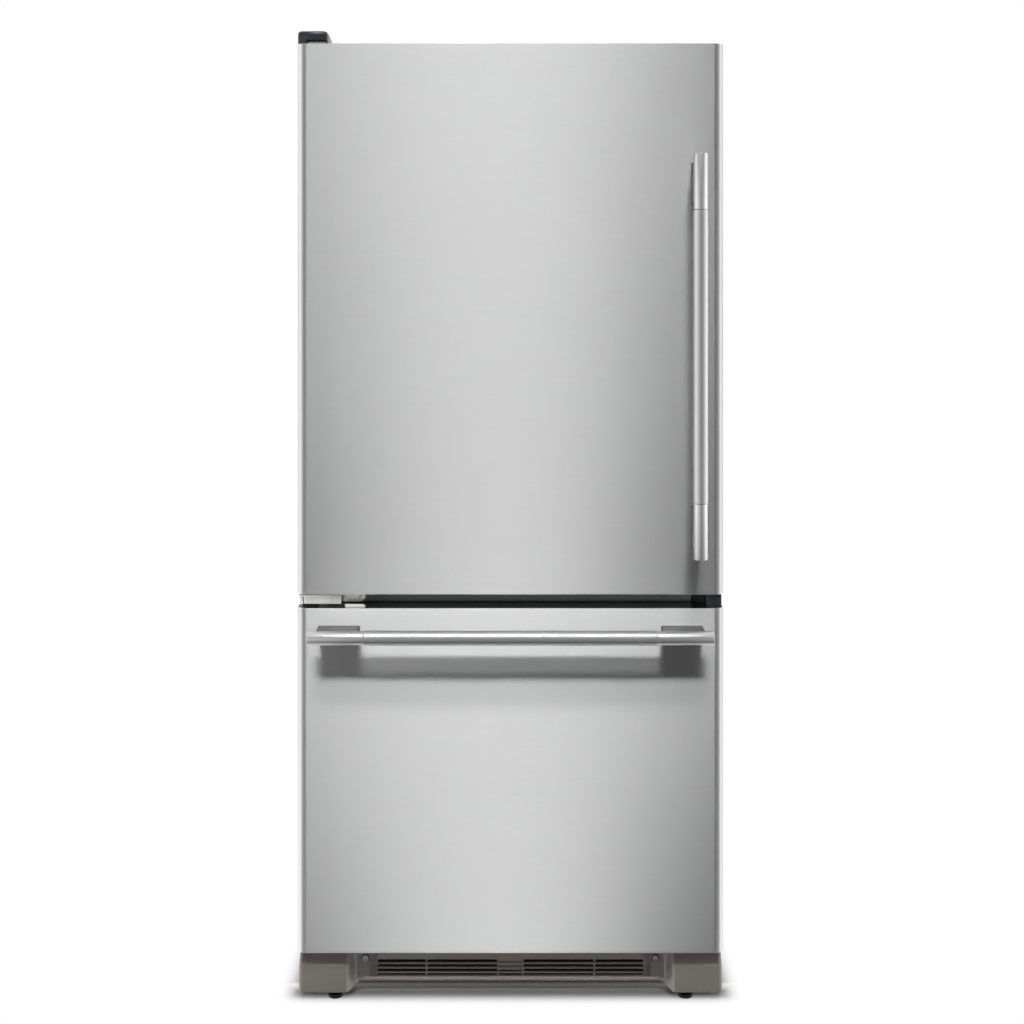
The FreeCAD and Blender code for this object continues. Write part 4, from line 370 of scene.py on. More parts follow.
def handle(prefix, body, axis, centre_u, bar_node, mount_node, middle):
    """The tube, its two ferrules and their posts; axis is the tube's, centre_u its place across."""
    centre = (HANDLE_Y, centre_u) if axis == "X" else (centre_u, HANDLE_Y)
    tube = Form()
    tube.lathe(axis, centre, [
        (middle - TUBE_END, 11), (middle - TUBE_END, 12.2), (middle - TUBE_END + 0.4, 12.7),
        (middle + TUBE_END - 0.4, 12.7), (middle + TUBE_END, 12.2), (middle + TUBE_END, 11)], 64)
    piece(tube, prefix + "_tube", body, "handle_tube", bar_node)
    ends, posts = Form(), Form()
    for side, _ in SIDES:
        def at(offset):
            return middle + side * offset
        near = TUBE_END + 0.5
        ends.lathe(axis, centre, [
            (at(near), 10.6), (at(near), 11.5), (at(near + 0.5), 12), (at(FERRULE_END - 1.6), 12),
            (at(FERRULE_END - 0.5), 11.6), (at(FERRULE_END), 10.6), (at(FERRULE_END), 9.2),
            (at(FERRULE_END - 0.6), 8.6)], 64)
        # the post: straight flanks from the door, and a waist where it meets the ferrule
        rings = []
        for depth, shorter, slimmer in (
                (FACE, 0, 0), (FACE - 0.6, 0, 0), (FACE - 41, 0, 0), (FACE - 44, 0.8, 0.8), (FACE - 47, 2, 4),
                (FACE - 48, 3, 8)):
            length, width = POST_LENGTH - shorter, POST_WIDTH - slimmer
            along = (at(POST_AT) - length / 2, at(POST_AT) + length / 2)
            sides = (centre_u - width / 2, centre_u + width / 2)
            outline = rounded(*along, *sides, 1, 4) if axis == "X" else rounded(*sides, *along, 1, 4)
            rings.append(on("Y", outline, depth))
        posts.loft(rings)
        posts.loft([on("Y", rounded(*foot_of(rings[0]), 1.4, 4), depth) for depth in (FACE + 0.02, FACE - 0.5)])
    piece(ends, prefix + "_ends", body, "handle_metal", mount_node)
    # painted shade: the posts take the darker copy of the ferrules' metal
    piece(posts, prefix + "_posts", body, "handle_metal", look=LOOKS["handle_posts_painted_shade"])


handle("door_handle", "door", "Z", 326, "door_handle_bar", "door_handle_mounts", 1141)
handle("drawer_handle", "drawer", "X", 658, "drawer_handle_bar", "drawer_handle_mounts", 0)


# ------------------------------------------------------------------------------------------ hinges
def screw_head(form, axis, out, place, radius=4.6, height=2.2):
    """A domed head with a cross recess, standing out along axis from place."""
    along = "XYZ".index(axis)
    centre = tuple(v for i, v in enumerate(place) if i != along)
    base = place[along]
    form.lathe(axis, centre, [(base + out * h, radius * r) for h, r in (
        (-0.2, 1.0), (0.35, 1.0), (height * 0.55, 0.86), (height * 0.85, 0.6), (height, 0.3))], 28)
    for turn in (0, 1):
        long_side, short_side = radius * 0.52, radius * 0.11
        half = (long_side, short_side) if turn else (short_side, long_side)
        spans = [(c - h, c + h) for c, h in zip(centre, half)]
        spans.insert(along, (base + out * height * 0.7, base + out * (height + 0.12)))
        form.block(*spans, soft=0.05, steps=1)
    return form


COVER_PLAN = [(-374.5, -331), (-373.2, -335.6), (-369.5, -337.75), (-326.5, -337.75), (-323.2, -336.4),
              (-321.7, -333), (-321.2, -318), (-321.8, -290), (-323.4, -262), (-326.4, -225), (-329.5, -192),
              (-331.5, -187), (-336, -184.75), (-368, -184.75), (-372.5, -187), (-374.5, -192)]
COVER_MIDDLE, COVER_HALF = (-349, -262), (26, 76)


def cover_ring(inset, height):
    """The cover's plan drawn in towards its middle by inset."""
    points = [[middle + (value - middle) * (1 - inset / half)
               for value, middle, half in zip(point, COVER_MIDDLE, COVER_HALF)] for point in COVER_PLAN]
    return on("Z", points, height)


cover = Form()
cover.loft([cover_ring(0, 1696), cover_ring(0, 1705), cover_ring(0.5, 1708.2), cover_ring(1.8, 1710.4),
            cover_ring(4.2, 1711.7), cover_ring(7, 1712)])
skirt = [(-374.5, -331), (-373.2, -335.6), (-369.5, -337.75), (-357, -337.75), (-356.5, -337), (-356.5, -325),
         (-322.5, -325), (-321.2, -318), (-321.8, -290), (-323.4, -262), (-326.4, -225), (-329.5, -192),
         (-336, -184.75), (-368, -184.75), (-374.5, -192)]
cover.loft([on("Z", skirt, 1690), on("Z", skirt, 1696.2)])
cover.block((-324.4, -321.4), (-336.6, -322), (1690, 1697), 0.8)
piece(cover, "hinge_cover", "cabinet", "dark_plastic", "top_hinge_cover")

PIN = (-366, -315.75)
EAR, EAR_Y = (-296.4, -257.6), -313
hinge = Form()
# the lip in the gap, the plate behind it and the collar at the lip's end
hinge.block((-363.2, -297.6), (-335.75, -331.75), (703.4, 720), 1.2, 3)
hinge.prism("Z", [(-363, -333), (-298, -333), (-298, EAR_Y), (-291, EAR_Y), (-291, CABINET), (-345, CABINET),
                  (-362, -303), (-372, -307), (-372, -326), (-370, -332)], 716.2, 720)
hinge.lathe("Z", (-368.4, -331.2), [(703, 3.6), (703.6, 4.4), (706, 4.4), (709, 3.3), (713.4, 3.3),
                                    (716.4, 4.4), (719.4, 4.4), (720, 3.8)], 32)
hinge.prism("Y", [(-345, 696.3), (-268, 696.3), (-261, 703), (-261, 719.6), (-268, 719.6), (-345, 719.6)],
            CABINET - 4, CABINET)
# the ear beside the lip, folded down from the plate
hinge.prism("Y", [(EAR[0], 703.4), (EAR[1] - 5.8, 703.4), (EAR[1], 709), (EAR[1], 719.8), (EAR[0], 719.8)],
            EAR_Y, EAR_Y + 3)
hinge.block(EAR, (EAR_Y, CABINET), (716.4, 719.8), 0.6)
screw_head(hinge, "Y", -1, (-266.3, EAR_Y, 711.6), 3.4, 1.6)
hinge.lathe("Z", PIN, [(700.8, 4.6), (701.6, 5.5), (704, 5.5), (704.4, 4.9), (716.6, 4.9), (717, 5.8),
                       (718, 5.8), (718.4, 4), (733, 4), (734, 3.2)], 36)
for screw_x in (-272, -323):
    screw_head(hinge, "Y", -1, (screw_x, CABINET - 4, 703.4), 4.4)
piece(hinge, "middle_hinge", "cabinet", "hinge_steel", "center_hinge", bevel=0.5)

# the folded tab on the drawer's top, in front of that ear
TAB = (-290.6, -255.6)
tab = Form().prism("Y", [(TAB[0], 697.5), (TAB[1], 697.5), (TAB[1], 701.2), (TAB[1] - 2.8, 704), (TAB[0], 704)],
                   -339.2, -337.4)
tab.block(TAB, (-338.4, -322), (697.2, 699.2), 0.5)
piece(tab, "drawer_tab", "drawer", "hinge_steel", bevel=0.4)


# ------------------------------------------------------------------------------------------ base grille
GRILLE = -295.75      # y of the sheet's face between the foot covers
OPENING = 238         # half the width of the slots


def grille_section(reach):
    """Outer and inner lines, as (y, z), of the grille's sheet at a distance reach from the middle.

    t goes from 0 in the middle to 1 on a foot cover, which stands further forward and lower."""
    t = smooth(reach, 274, 291)
    front = GRILLE - 30 * t
    top = GRILLE - 10 * t
    low = 22.6 - 8.6 * smooth(reach, 262, 289)
    lip = 4 * (1 - t)
    outer = [(CABINET, 91), (top + 6, 91), (top + 2, 90.2), (top, 88), (front + 1.5 * t, 60), (front, 55),
             (front, low + 6.5), (front - lip * 0.5, low + 4.4), (front - lip, low + 2.6),
             (front - lip + 0.6, low + 0.8), (front - lip + 2.4, low), (front + 9, low)]
    inner = [(front + 9, low + 3), (front + 3.6, low + 3.4), (front + 3, low + 6.5), (front + 3, 55),
             (front + 3 + 1.5 * t, 60), (top + 3, 86), (top + 6, 88), (CABINET, 88)]
    return outer, inner


grille, grille_painted_shade, grille_screws = Form(), Form(), Form()
# painted shade: a black sheet behind the slots, where there is only shade, so that they read dark
grille_painted_shade.block((-240, 240), (-288.6, -287.6), (30, 62), 0)
for side, _ in SIDES:
    rings = []
    for reach in (OPENING - 1, 250, 260, 266, 270, 274, 277, 280, 282.5, 285, 287.5, 290, 293, 300, 330, 367):
        outer, inner = grille_section(reach)
        rings.append([(side * reach, y, z) for y, z in outer + inner])
    grille.loft(rings)
    # the closed outer end, rounded towards the front and the floor
    rings = []
    outer, _ = grille_section(340)
    for step in range(8):
        turn = math.radians(90 * step / 7)
        back, lift = 8 * (1 - math.cos(turn)), 7 * (1 - math.cos(turn))
        flat = [(min(y + back, CABINET), max(z, 14 + lift)) for y, z in outer] + [(CABINET, 14 + lift)]
        rings.append([(side * (366.3 + 8 * math.sin(turn)), y, z) for y, z in flat])
    grille.loft(rings)
    grille.block((side * (OPENING - 1), side * 252), (GRILLE, GRILLE + 3), (24, 90), 0.4)
    # painted shade: a dark ring round the screw stands in for the shade of its recess
    grille_painted_shade.lathe("Y", (side * 259, 62), [(-295, 7.4), (-296, 7.4), (-296.1, 6.9)], 32)
    screw_head(grille_screws, "Y", -1, (side * 259, -296.2, 62.8), 4.9, 2.6)
grille.block((-OPENING, OPENING), (GRILLE, GRILLE + 3), (59.2, 91), 1, 2)
for row in (52.99, 44.99, 36.99):
    grille.block((-OPENING, OPENING), (GRILLE - 1.25, GRILLE + 3), (row - 1.8, row + 1.8), 1.2, 3)
lip, back_lip = grille_section(100)
low_rail = [(y, z) for y, z in lip if z < 31] + [(y, z) for y, z in back_lip if z < 31]
low_rail = [(GRILLE, 30.8)] + low_rail + [(GRILLE + 3, 30.8)]
grille.prism("X", low_rail, -OPENING, OPENING)
for rib in (-150, -22, 22, 150):
    grille.block((rib - 1.5, rib + 1.5), (-296, -289), (24, 60), 0.4)
grille.block((-22, 22), (-294.4, -291.6), (40, 60), 0.8)
piece(grille, "toe_grille", "cabinet", "grille_plastic", "base_grille")
# the black sheet and the rings round the screws are painted shade
piece(grille_painted_shade, "toe_grille_painted_shade", "cabinet", "gloss_black")
piece(grille_screws, "toe_grille_screws", "cabinet", "screw_steel")


# ------------------------------------------------------------------------------------------ feet and rollers
FOOT_X, FOOT_Y = 311, -304.75
ROLLER = (349.25, 20)      # y and z of the rollers' axle, which is as high as their radius

for side, side_name in SIDES:
    foot = Form()
    middle = (side * FOOT_X, FOOT_Y)
    foot.lathe("Z", middle, [(0, 11.5), (0.4, 13.2), (1.4, 14), (5.4, 14), (6.4, 13.4), (7, 11.5), (7, 6)], 40)
    foot.prism("Z", circle(*middle, 8.4, 6), 7, 13)
    thread = []
    for turn in range(38):
        thread += [(13 + turn * 1.5, 4.4), (13.75 + turn * 1.5, 5.0)]
    foot.lathe("Z", middle, thread + [(70, 4.2)], 24)
    piece(foot, "foot_" + side_name, "leveling_leg_" + side_name, "rubber", "leveling_leg_" + side_name)
    roller = Form()
    near, far = sorted((side * 323, side * 343))
    roller.lathe("X", ROLLER, [(near + 3, 6), (near + 3, 13.5), (near, 15), (near, 18.6), (near + 1.4, 20),
                               (near + 5, 20), (near + 5.6, 19.3), (near + 6.2, 20), (far - 6.2, 20),
                               (far - 5.6, 19.3), (far - 5, 20), (far - 1.4, 20), (far, 18.6), (far, 15),
                               (far - 3, 13.5), (far - 3, 6)], 48)
    for turn in range(6):
        angle = math.tau * turn / 6
        y, z = ROLLER[0] + 10 * math.cos(angle), ROLLER[1] + 10 * math.sin(angle)
        roller.block((near + 1, far - 1), (y - 1.4, y + 1.4), (z - 1.4, z + 1.4), 0.4)
    roller.lathe("X", ROLLER, [(near + 0.4, 5), (near + 0.4, 6.4), (far - 0.4, 6.4), (far - 0.4, 5)], 24)
    piece(roller, "roller_" + side_name, "rear_roller_" + side_name, "rubber", "rear_roller_" + side_name)


# ------------------------------------------------------------------------------------------ door linings
def panes(form, rects, loop=False, steps=8):
    """A form pressed from one sheet: rounded rectangles (half width, low, high, corner radius, y) in turn."""
    return form.loft([on("Y", rounded(-half, half, low, high, corner, steps), y)
                      for half, low, high, corner, y in rects], loop)


def gasket(name, body, low, high):
    """A bellows seal: a foot in the lining's groove, two folds and the flat magnet strip."""
    fold = [(2.5, -285.7), (1.4, -284.2), (0.6, -282.4), (2.6, -280.6), (0.2, -278.6), (2.6, -276.8), (0, -275),
            (0, -272), (0.7, -271.1)]
    around = fold + [(16 - inset, y) for inset, y in fold[::-1]]
    form = panes(Form(), [(350 - inset, low + inset, high - inset, max(9 - inset, 0.5), y)
                          for inset, y in around], loop=True, steps=5)
    piece(form, name + "_seal", body, "gasket", name, sharp=50)


gasket("door_gasket", "door", 725, 1663)
gasket("drawer_gasket", "drawer", 97, 696)

lining = panes(Form(), [
    (363, 736, 1674, 10, -287.7), (363, 736, 1674, 10, -286.3), (362.4, 736.6, 1673.4, 10, -285.75),
    (309, 760, 1622, 15, -285.75), (306, 763, 1619, 17, -284.9), (305, 764, 1618, 18, -282),
    (304, 765, 1617, 18, -248), (303, 766, 1616, 17, -243.8), (300.6, 768.4, 1613.6, 16, -241.4),
    (297, 772, 1610, 14, -240.75), (283, 786, 1596, 12, -240.75), (278.6, 790.4, 1591.6, 10, -241.5),
    (276.2, 792.8, 1589.2, 9, -243.6), (275.4, 793.6, 1588.4, 8, -247), (275.1, 793.9, 1588.1, 7, -284),
    (274, 795, 1587, 6, -285.5), (272, 797, 1585, 5, -285.74)])
for low in (906, 1121, 1336):
    panes(lining, [(232, low, low + 84, 14, -285.8), (231, low + 1, low + 83, 13, -284.2),
                   (228, low + 4, low + 80, 11, -283.4), (224, low + 8, low + 76, 9, -283.2)])
    for rib in range(3):
        lining.block((-206, 206), (-283.6, -282), (low + 20 + rib * 19, low + 26 + rib * 19), 0.7)
for side, _ in SIDES:
    for z in (856, 1071, 1286):
        lining.lathe("X", (-252, z),
                     [(side * 275.5, 7), (side * 274.2, 6.6), (side * 273.6, 5.6), (side * 273.4, 3)], 24)
piece(lining, "door_lining", "door", "liner", "door_inner_panel")
piece(panes(Form(), [
    (363, 108, 684, 10, -287.7), (363, 108, 684, 10, -286.3), (362.4, 108.6, 683.4, 10, -285.75),
    (303, 150, 652, 14, -285.75), (300, 153, 649, 15, -285), (299, 154, 648, 16, -283),
    (298.4, 154.6, 647.4, 16, -277), (297, 156, 646, 15, -274.6), (294, 159, 643, 13, -273.8),
    (275, 178, 624, 10, -273.8), (271.4, 181.6, 620.4, 9, -274.6), (269.6, 183.4, 618.6, 8, -277),
    (269.2, 183.8, 618.2, 7, -283), (267.5, 185.5, 616.5, 6, -285.2), (264, 189, 613, 5, -285.7)]),
      "drawer_lining", "drawer", "liner", "drawer_inner_panel")


# ------------------------------------------------------------------------------------------ bins and drawers
def flutes(form, spans, axis, face, out, low, high, proud=1.0, width=5):
    """Upright ribs at the places spans on a wall whose face looks along axis, out being +1 or -1."""
    for place in spans:
        side_span, depth = (place - width / 2, place + width / 2), (face, face + out * proud)
        x, y = (side_span, depth) if axis == "Y" else (depth, side_span)
        form.block(x, y, (low, high), soft=proud * 0.45, steps=2)


bins, trims = Form(), Form()
for low in (797, 1012, 1227):
    tub(bins, (-274.4, 274.4), (-285.6, -190.7), (low + 0.2, low + 94), 2.6, 15, 2, 2)
    flutes(bins, range(-240, 241, 20), "Y", -193.6, -1, low + 12, low + 58, 0.9, 6)
    panes(trims, [(262, low + 68, low + 93, 7, -191.4), (262, low + 68, low + 93, 7, -190.2),
                  (261.2, low + 68.8, low + 92.2, 6.4, -189.85), (258, low + 72, low + 89, 5, -189.8),
                  (256, low + 74, low + 87, 4, -190.3)])
piece(bins, "door_bin_tubs", "door", "clear_plastic", "door_bins")
piece(trims, "door_bin_trims", "door", "white_plastic")

for side, side_name in SIDES:
    near, far = sorted((side * 4.2, side * 305.8))
    form = Form()
    tub(form, (near, far), (-134.6, 287.2), (743.4, 900.8), 2.6, 14, 2.2, 3)
    flutes(form, range(-90, 260, 50), "X", near + 5.8 - 0.9, 1, 760, 880, 0.9, 8)
    flutes(form, range(-90, 260, 50), "X", far - 5.8 + 0.9, -1, 760, 880, 0.9, 8)
    piece(form, "crisper_tub_" + side_name, "crisper_" + side_name, "clear_plastic", "crisper_" + side_name)
    form = Form()
    near, far = sorted((side * 12, side * 298))
    pull = [(-134, 900.6), (-139.6, 900.6), (-141.4, 899.6), (-141.9, 897.6), (-141.9, 885.4), (-141.2, 883.8),
            (-139.8, 883.2), (-138.8, 884.2), (-138.6, 886), (-138.6, 893), (-137.6, 895.4), (-134, 896)]
    form.prism("X", pull, near, far)
    piece(form, "crisper_pull_" + side_name, "crisper_" + side_name, "white_plastic", bevel=0.4)

basket = Form()
tub(basket, (-297, 297), (-272.6, 115.1), (150.2, 462.2), 3, 22, 2.4, 4, 4)
for side, _ in SIDES:
    basket.block((side * 294, side * 306), (-268, 110.6), (459.5, 462.3), 1.2, 3)
    basket.block((side * 284.6, side * 292), (-266, 108), (389.6, 393.2), 1)
    flutes(basket, range(-230, 91, 32), "X", side * 293, side, 172, 440, 1.6, 7)
for x in range(-252, 253, 36):
    flutes(basket, (x,), "Y", 111.2, 1, 172, 440, 1.6, 7)
    flutes(basket, (x,), "Y", -268.8, -1, 172, 440, 1.6, 7)
for i in range(13):
    basket.block((-262, 262), (-236 + i * 26, -230 + i * 26), (152.4, 155.2), 1)
piece(basket, "freezer_bin", "drawer", "white_plastic", "freezer_basket")
tray = Form()
tub(tray, (-290.8, 290.8), (-267.6, -27.9), (393.9, 454.2), 2.6, 14, 2.2, 2)
for i in range(1, 4):
    tray.block((-290.8 + i * 145.4 - 1.1, -290.8 + i * 145.4 + 1.1), (-262, -33), (396, 440), 0.5)
piece(tray, "freezer_tray_tub", "freezer_tray", "clear_plastic", "freezer_tray")


# ------------------------------------------------------------------------------------------ compartment
room = panes(Form(), [
    (326, 741, 1637, 14, 349.2), (326, 741, 1637, 14, -270.7), (324.9, 742.1, 1635.9, 14, -270.75),
    (324.2, 742.8, 1635.2, 15, -270.1), (324, 743, 1635, 16, -268.8), (324, 743, 1635, 16, 337),
    (323.2, 743.8, 1634.2, 16, 341.8), (321, 746, 1632, 15, 345.4), (318, 749, 1629, 14, 346.9),
    (312, 755, 1623, 12, 347.25)])
for side, _ in SIDES:
    room.block((side * 312, side * 324.4), (-130, 307), (900, 912), 3, 3)
piece(room, "fresh_room", "cabinet", "liner", "fresh_food_liner")

KNOB = (105, 1617)       # x and z of the dial's middle
BOX_FRONT = -120
housing = Form()
profile = [(50, 1635), (-112, 1635), (-117, 1634), (-119.6, 1631), (-120, 1626), (-120, 1608), (-119, 1603.4),
           (-115.6, 1600.2), (-110, 1599), (40, 1599), (46.6, 1600.8), (49.6, 1605)]
rings = []
for inset, reach in ((9, -150), (3, -149.4), (1, -147.6), (0, -144), (0, 144), (1, 147.6), (3, 149.4),
                     (9, 150)):
    rings.append([(reach, min(max(y, BOX_FRONT + inset), 50 - inset), max(z, 1599 + inset))
                  for y, z in profile])
housing.loft(rings)
for i in range(9):
    housing.block((-132 + i * 14, -124 + i * 14), (-120.4, -119.4), (1612, 1623), 0.4)
housing.ring("Y", KNOB, [(-119.4, 15.4), (-120.3, 15.8), (-120.3, 17), (-119.4, 17.4)], 48)
for i in range(7):
    turn = math.radians(210 - 40 * i)
    x, z = KNOB[0] + 16.4 * math.cos(turn), KNOB[1] + 16.4 * math.sin(turn) * 0.98
    housing.block((x - 0.5, x + 0.5), (-120.8, -119.8), (z - 0.5, z + 0.5), 0.2)
piece(housing, "control_box", "cabinet", "white_plastic", "control_housing")
knob = Form()
rings = []
for y, size in ((-106, 3.6), (-119.9, 3.6), (-120.4, 13.4), (-121, 14), (-130, 13.6), (-131.4, 12.8),
                (-131.8, 11)):
    outline = []
    for i in range(60):
        radius = size - (0.5 if i % 2 and size > 12 else 0)      # the grip's fine teeth
        turn = math.tau * i / 60
        outline.append((KNOB[0] + radius * math.cos(turn), KNOB[1] + radius * math.sin(turn)))
    rings.append(on("Y", outline, y))
knob.loft(rings)
knob.block((102.6, 107.4), (-137.2, -131), (1604.4, 1629.6), 1.6, 3)
piece(knob, "control_dial", "control_knob", "dark_plastic", "control_knob")
piece(Form().block((104.4, 105.6), (-137.3, -136.6), (1621, 1628), 0.2), "control_dial_mark", "control_knob",
      "white_plastic")

PAD, PAD_PITCH = (232, 265), (242, 275)      # the pads pressed in the back: width and height
rear = Form()
rear.block((-371, 371), (408.25, 408.4), (290, 1689), 0)
for column in range(3):
    for row in range(5):
        x0, z0 = -358 + column * PAD_PITCH[0], 306 + row * PAD_PITCH[1]
        x1, z1 = x0 + PAD[0], z0 + PAD[1]
        rear.loft([on("Y", rounded(x0 + inset, x1 - inset, z0 + inset, z1 - inset, 22 - inset, 6), y)
                   for inset, y in ((0, 408.35), (1, 408.8), (2.4, 409.16), (5, 409.24))])
piece(rear, "rear_panel", "cabinet", "back_sheet", "back_panel")


# ------------------------------------------------------------------------------------------ CAD nodes kept
NODES_OF = {
    "stainless": "door_skin drawer_skin",
    "handle_tube": "door_handle_bar drawer_handle_bar",
    "handle_metal": "door_handle_mounts drawer_handle_mounts",
    "hinge_steel": "top_hinge center_hinge",
    "dark_plastic": "top_hinge_cover door_end_caps drawer_end_caps humidity_slide_left humidity_slide_right "
                    "control_knob evaporator_fan condenser_fan drain_pan",
    "cabinet_paint": "cabinet_wrapper mullion_rail",
    "back_sheet": "back_panel machine_cover",
    "zinc_steel": "base_frame drawer_rails_fixed drawer_rails_middle drawer_rails_inner",
    "grille_plastic": "base_grille",
    "screw_steel": "screws",
    "rubber": "leveling_leg_left leveling_leg_right rear_roller_left rear_roller_right",
    "foam": "cabinet_foam door_foam drawer_foam",
    "gasket": "door_gasket drawer_gasket",
    "liner": "fresh_food_liner freezer_liner door_inner_panel drawer_inner_panel",
    "white_plastic": "shelf_supports shelf_trims crisper_cover air_duct control_housing evaporator_cover "
                     "freezer_basket door_switch_plunger",
    "shelf_glass": "shelf_glass",
    "clear_plastic": "door_bins dairy_box dairy_lid crisper_left crisper_right freezer_tray",
    "lens": "light_lens",
    "fins": "evaporator",
    "motor": "fan_motors",
    "black_enamel": "compressor",
    "condenser": "condenser",
}
# how far the edges of the nodes that stay are rounded, in millimetres
ROUNDING = {
    "cabinet_wrapper": 1.4, "machine_cover": 0.5, "freezer_liner": 0.8, "base_frame": 0.4, "top_hinge": 0.5,
    "shelf_supports": 0.5, "shelf_glass": 0.8, "shelf_trims": 1.2, "crisper_cover": 1.5, "air_duct": 1.5,
    "light_lens": 1.5, "evaporator_cover": 1, "fan_motors": 0.4, "drain_pan": 0.8, "drawer_rails_fixed": 0.5,
    "drawer_rails_middle": 0.5, "drawer_rails_inner": 0.5, "dairy_box": 1.2, "dairy_lid": 1,
    "humidity_slide_left": 1, "humidity_slide_right": 1, "evaporator_fan": 0.3, "condenser_fan": 0.3,
    "door_switch_plunger": 0.3,
}
for slot_name, node_names in NODES_OF.items():
    for node_name in node_names.split():
        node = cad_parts[node_name]
        for place in node.material_slots:
            # the rail between the doors is painted silver, not charcoal
            place.material = LOOKS["rail_paint" if node_name == "mullion_rail" else slot_name]
        if node_name in ROUNDING:
            soften(node, ROUNDING[node_name])


# ------------------------------------------------------------------------------------------ floor and light
def ramp(tree, value, stops, scale=1.0):
    """Straight lines through the stops, given as value and brightness pairs, times scale."""
    node = tree.nodes.new("ShaderNodeValToRGB")
    node.color_ramp.interpolation = "LINEAR"
    elements = node.color_ramp.elements
    for place, level in stops[2:]:
        elements.new(place)
    for element, (place, level) in zip(elements, sorted(stops)):
        element.position = place
        element.color = (level, level, level, 1)
    tree.links.new(value, node.inputs["Fac"])
    return maths(tree, "MULTIPLY", node.outputs["Color"], scale)


def by_side(tree, value, stops, scale=1.0):
    """A ramp whose stops are given as the direction's X, from -1 to 1."""
    return ramp(tree, value, [((x + 1) / 2, level) for x, level in stops], scale)


def by_height(tree, value, stops, scale=1.0):
    """A ramp whose stops are given as degrees above the horizon."""
    return ramp(tree, value, [((math.sin(math.radians(e)) + 1) / 2, level) for e, level in stops], scale)


world = bpy.data.worlds.new("studio")
bpy.context.scene.world = world
world.use_nodes = True
sky = world.node_tree
sky.nodes.clear()
heading = sky.nodes.new("ShaderNodeTexCoord").outputs["Generated"]
split = sky.nodes.new("ShaderNodeSeparateXYZ")
sky.links.new(heading, split.inputs[0])
side_x, depth_y, height_z = split.outputs
sideways = maths(sky, "MULTIPLY_ADD", side_x, 0.5, 0.5)
rise = maths(sky, "DIVIDE", height_z,
             maths(sky, "SQRT", maths(sky, "ADD", maths(sky, "MULTIPLY", depth_y, depth_y),
                                      maths(sky, "MULTIPLY_ADD", height_z, height_z, 0.0001))))
upright = maths(sky, "MULTIPLY_ADD", rise, 0.5, 0.5)
# in front: a white card on each side, dim between the two, and a small card low on the left
cards = by_side(sky, sideways, [(-1.0, 0.45), (-0.8, 0.5), (-0.68, 0.8), (-0.37, 0.8), (-0.3, 0.2), (0.1, 0.18),
                                (0.16, 0.1), (0.3, 0.12), (0.46, 0.45), (0.7, 0.7), (0.9, 0.6), (1.0, 0.8)])
level_band = by_height(sky, upright, [(-90, 0.3), (-40, 0.45), (-18, 1), (14, 1), (24, 0.25), (90, 0.1)])
low_card = maths(sky, "MULTIPLY", by_side(sky, sideways, [(-0.24, 0), (-0.2, 1), (-0.09, 1), (-0.05, 0)], 0.7),
                 by_height(sky, upright, [(-24, 0), (-18, 1), (-6, 1), (-1, 0)]))
# beside it: two white walls
walls = by_side(sky, sideways, [(-0.97, 1.0), (-0.87, 0.6), (-0.74, 0.0), (0.82, 0.0), (0.9, 0.4), (0.97, 1.0)],
                1.3)
# above: one long strip lamp and a weaker one over it, brightest in the middle
strips = by_height(sky, upright,
                   [(49.5, 0), (50, 1), (54, 1), (54.5, 0), (61.5, 0), (62, 0.35), (66, 0.35), (66.5, 0)])
across = by_side(sky, sideways, [(-0.24, 0), (-0.17, 0.42), (-0.1, 0.58), (-0.05, 0.62), (0.0, 0.74),
                                 (0.05, 0.82), (0.1, 0.56), (0.15, 0.25), (0.19, 0), (0.5, 0.02),
                                 (1.0, 0.04)], 55)
lamps = maths(sky, "MULTIPLY", strips, across)
front = maths(sky, "ADD", maths(sky, "MULTIPLY_ADD", cards, level_band, low_card),
              maths(sky, "ADD", walls, lamps))
behind = sky.nodes.new("ShaderNodeMapRange")
behind.inputs["From Min"].default_value = -0.15
behind.inputs["From Max"].default_value = 0.1
sky.links.new(depth_y, behind.inputs["Value"])
level = sky.nodes.new("ShaderNodeMix")
sky.links.new(behind.outputs["Result"], level.inputs["Factor"])
sky.links.new(front, level.inputs["A"])
sky.links.new(maths(sky, "MULTIPLY_ADD", walls, 0.5, 1.0), level.inputs["B"])
path = sky.nodes.new("ShaderNodeLightPath")
seen = maths(sky, "MAXIMUM", path.outputs["Is Camera Ray"], path.outputs["Is Transmission Ray"])
studio = sky.nodes.new("ShaderNodeBackground")
sky.links.new(level.outputs["Result"], studio.inputs["Color"])
plain = sky.nodes.new("ShaderNodeBackground")
plain.inputs["Color"].default_value = (1, 1, 1, 1)
mixed = sky.nodes.new("ShaderNodeMixShader")
sky.links.new(seen, mixed.inputs["Fac"])
sky.links.new(studio.outputs[0], mixed.inputs[1])
sky.links.new(plain.outputs[0], mixed.inputs[2])
sky.links.new(mixed.outputs[0], sky.nodes.new("ShaderNodeOutputWorld").inputs["Surface"])

OVERHEAD, AIM = Vector((0, -2.2, 3.4)), Vector((0, -0.2, 0.9))
overhead = bpy.data.lights.new("overhead", "AREA")
overhead.shape = "RECTANGLE"
overhead.size, overhead.size_y = 2.4, 1.4
overhead.energy = 36
lamp = bpy.data.objects.new("overhead", overhead)
lamp.location = OVERHEAD
lamp.rotation_euler = (AIM - OVERHEAD).to_track_quat("-Z", "Y").to_euler()
lamp.visible_camera = False
lamp.visible_glossy = False
bpy.context.scene.collection.objects.link(lamp)

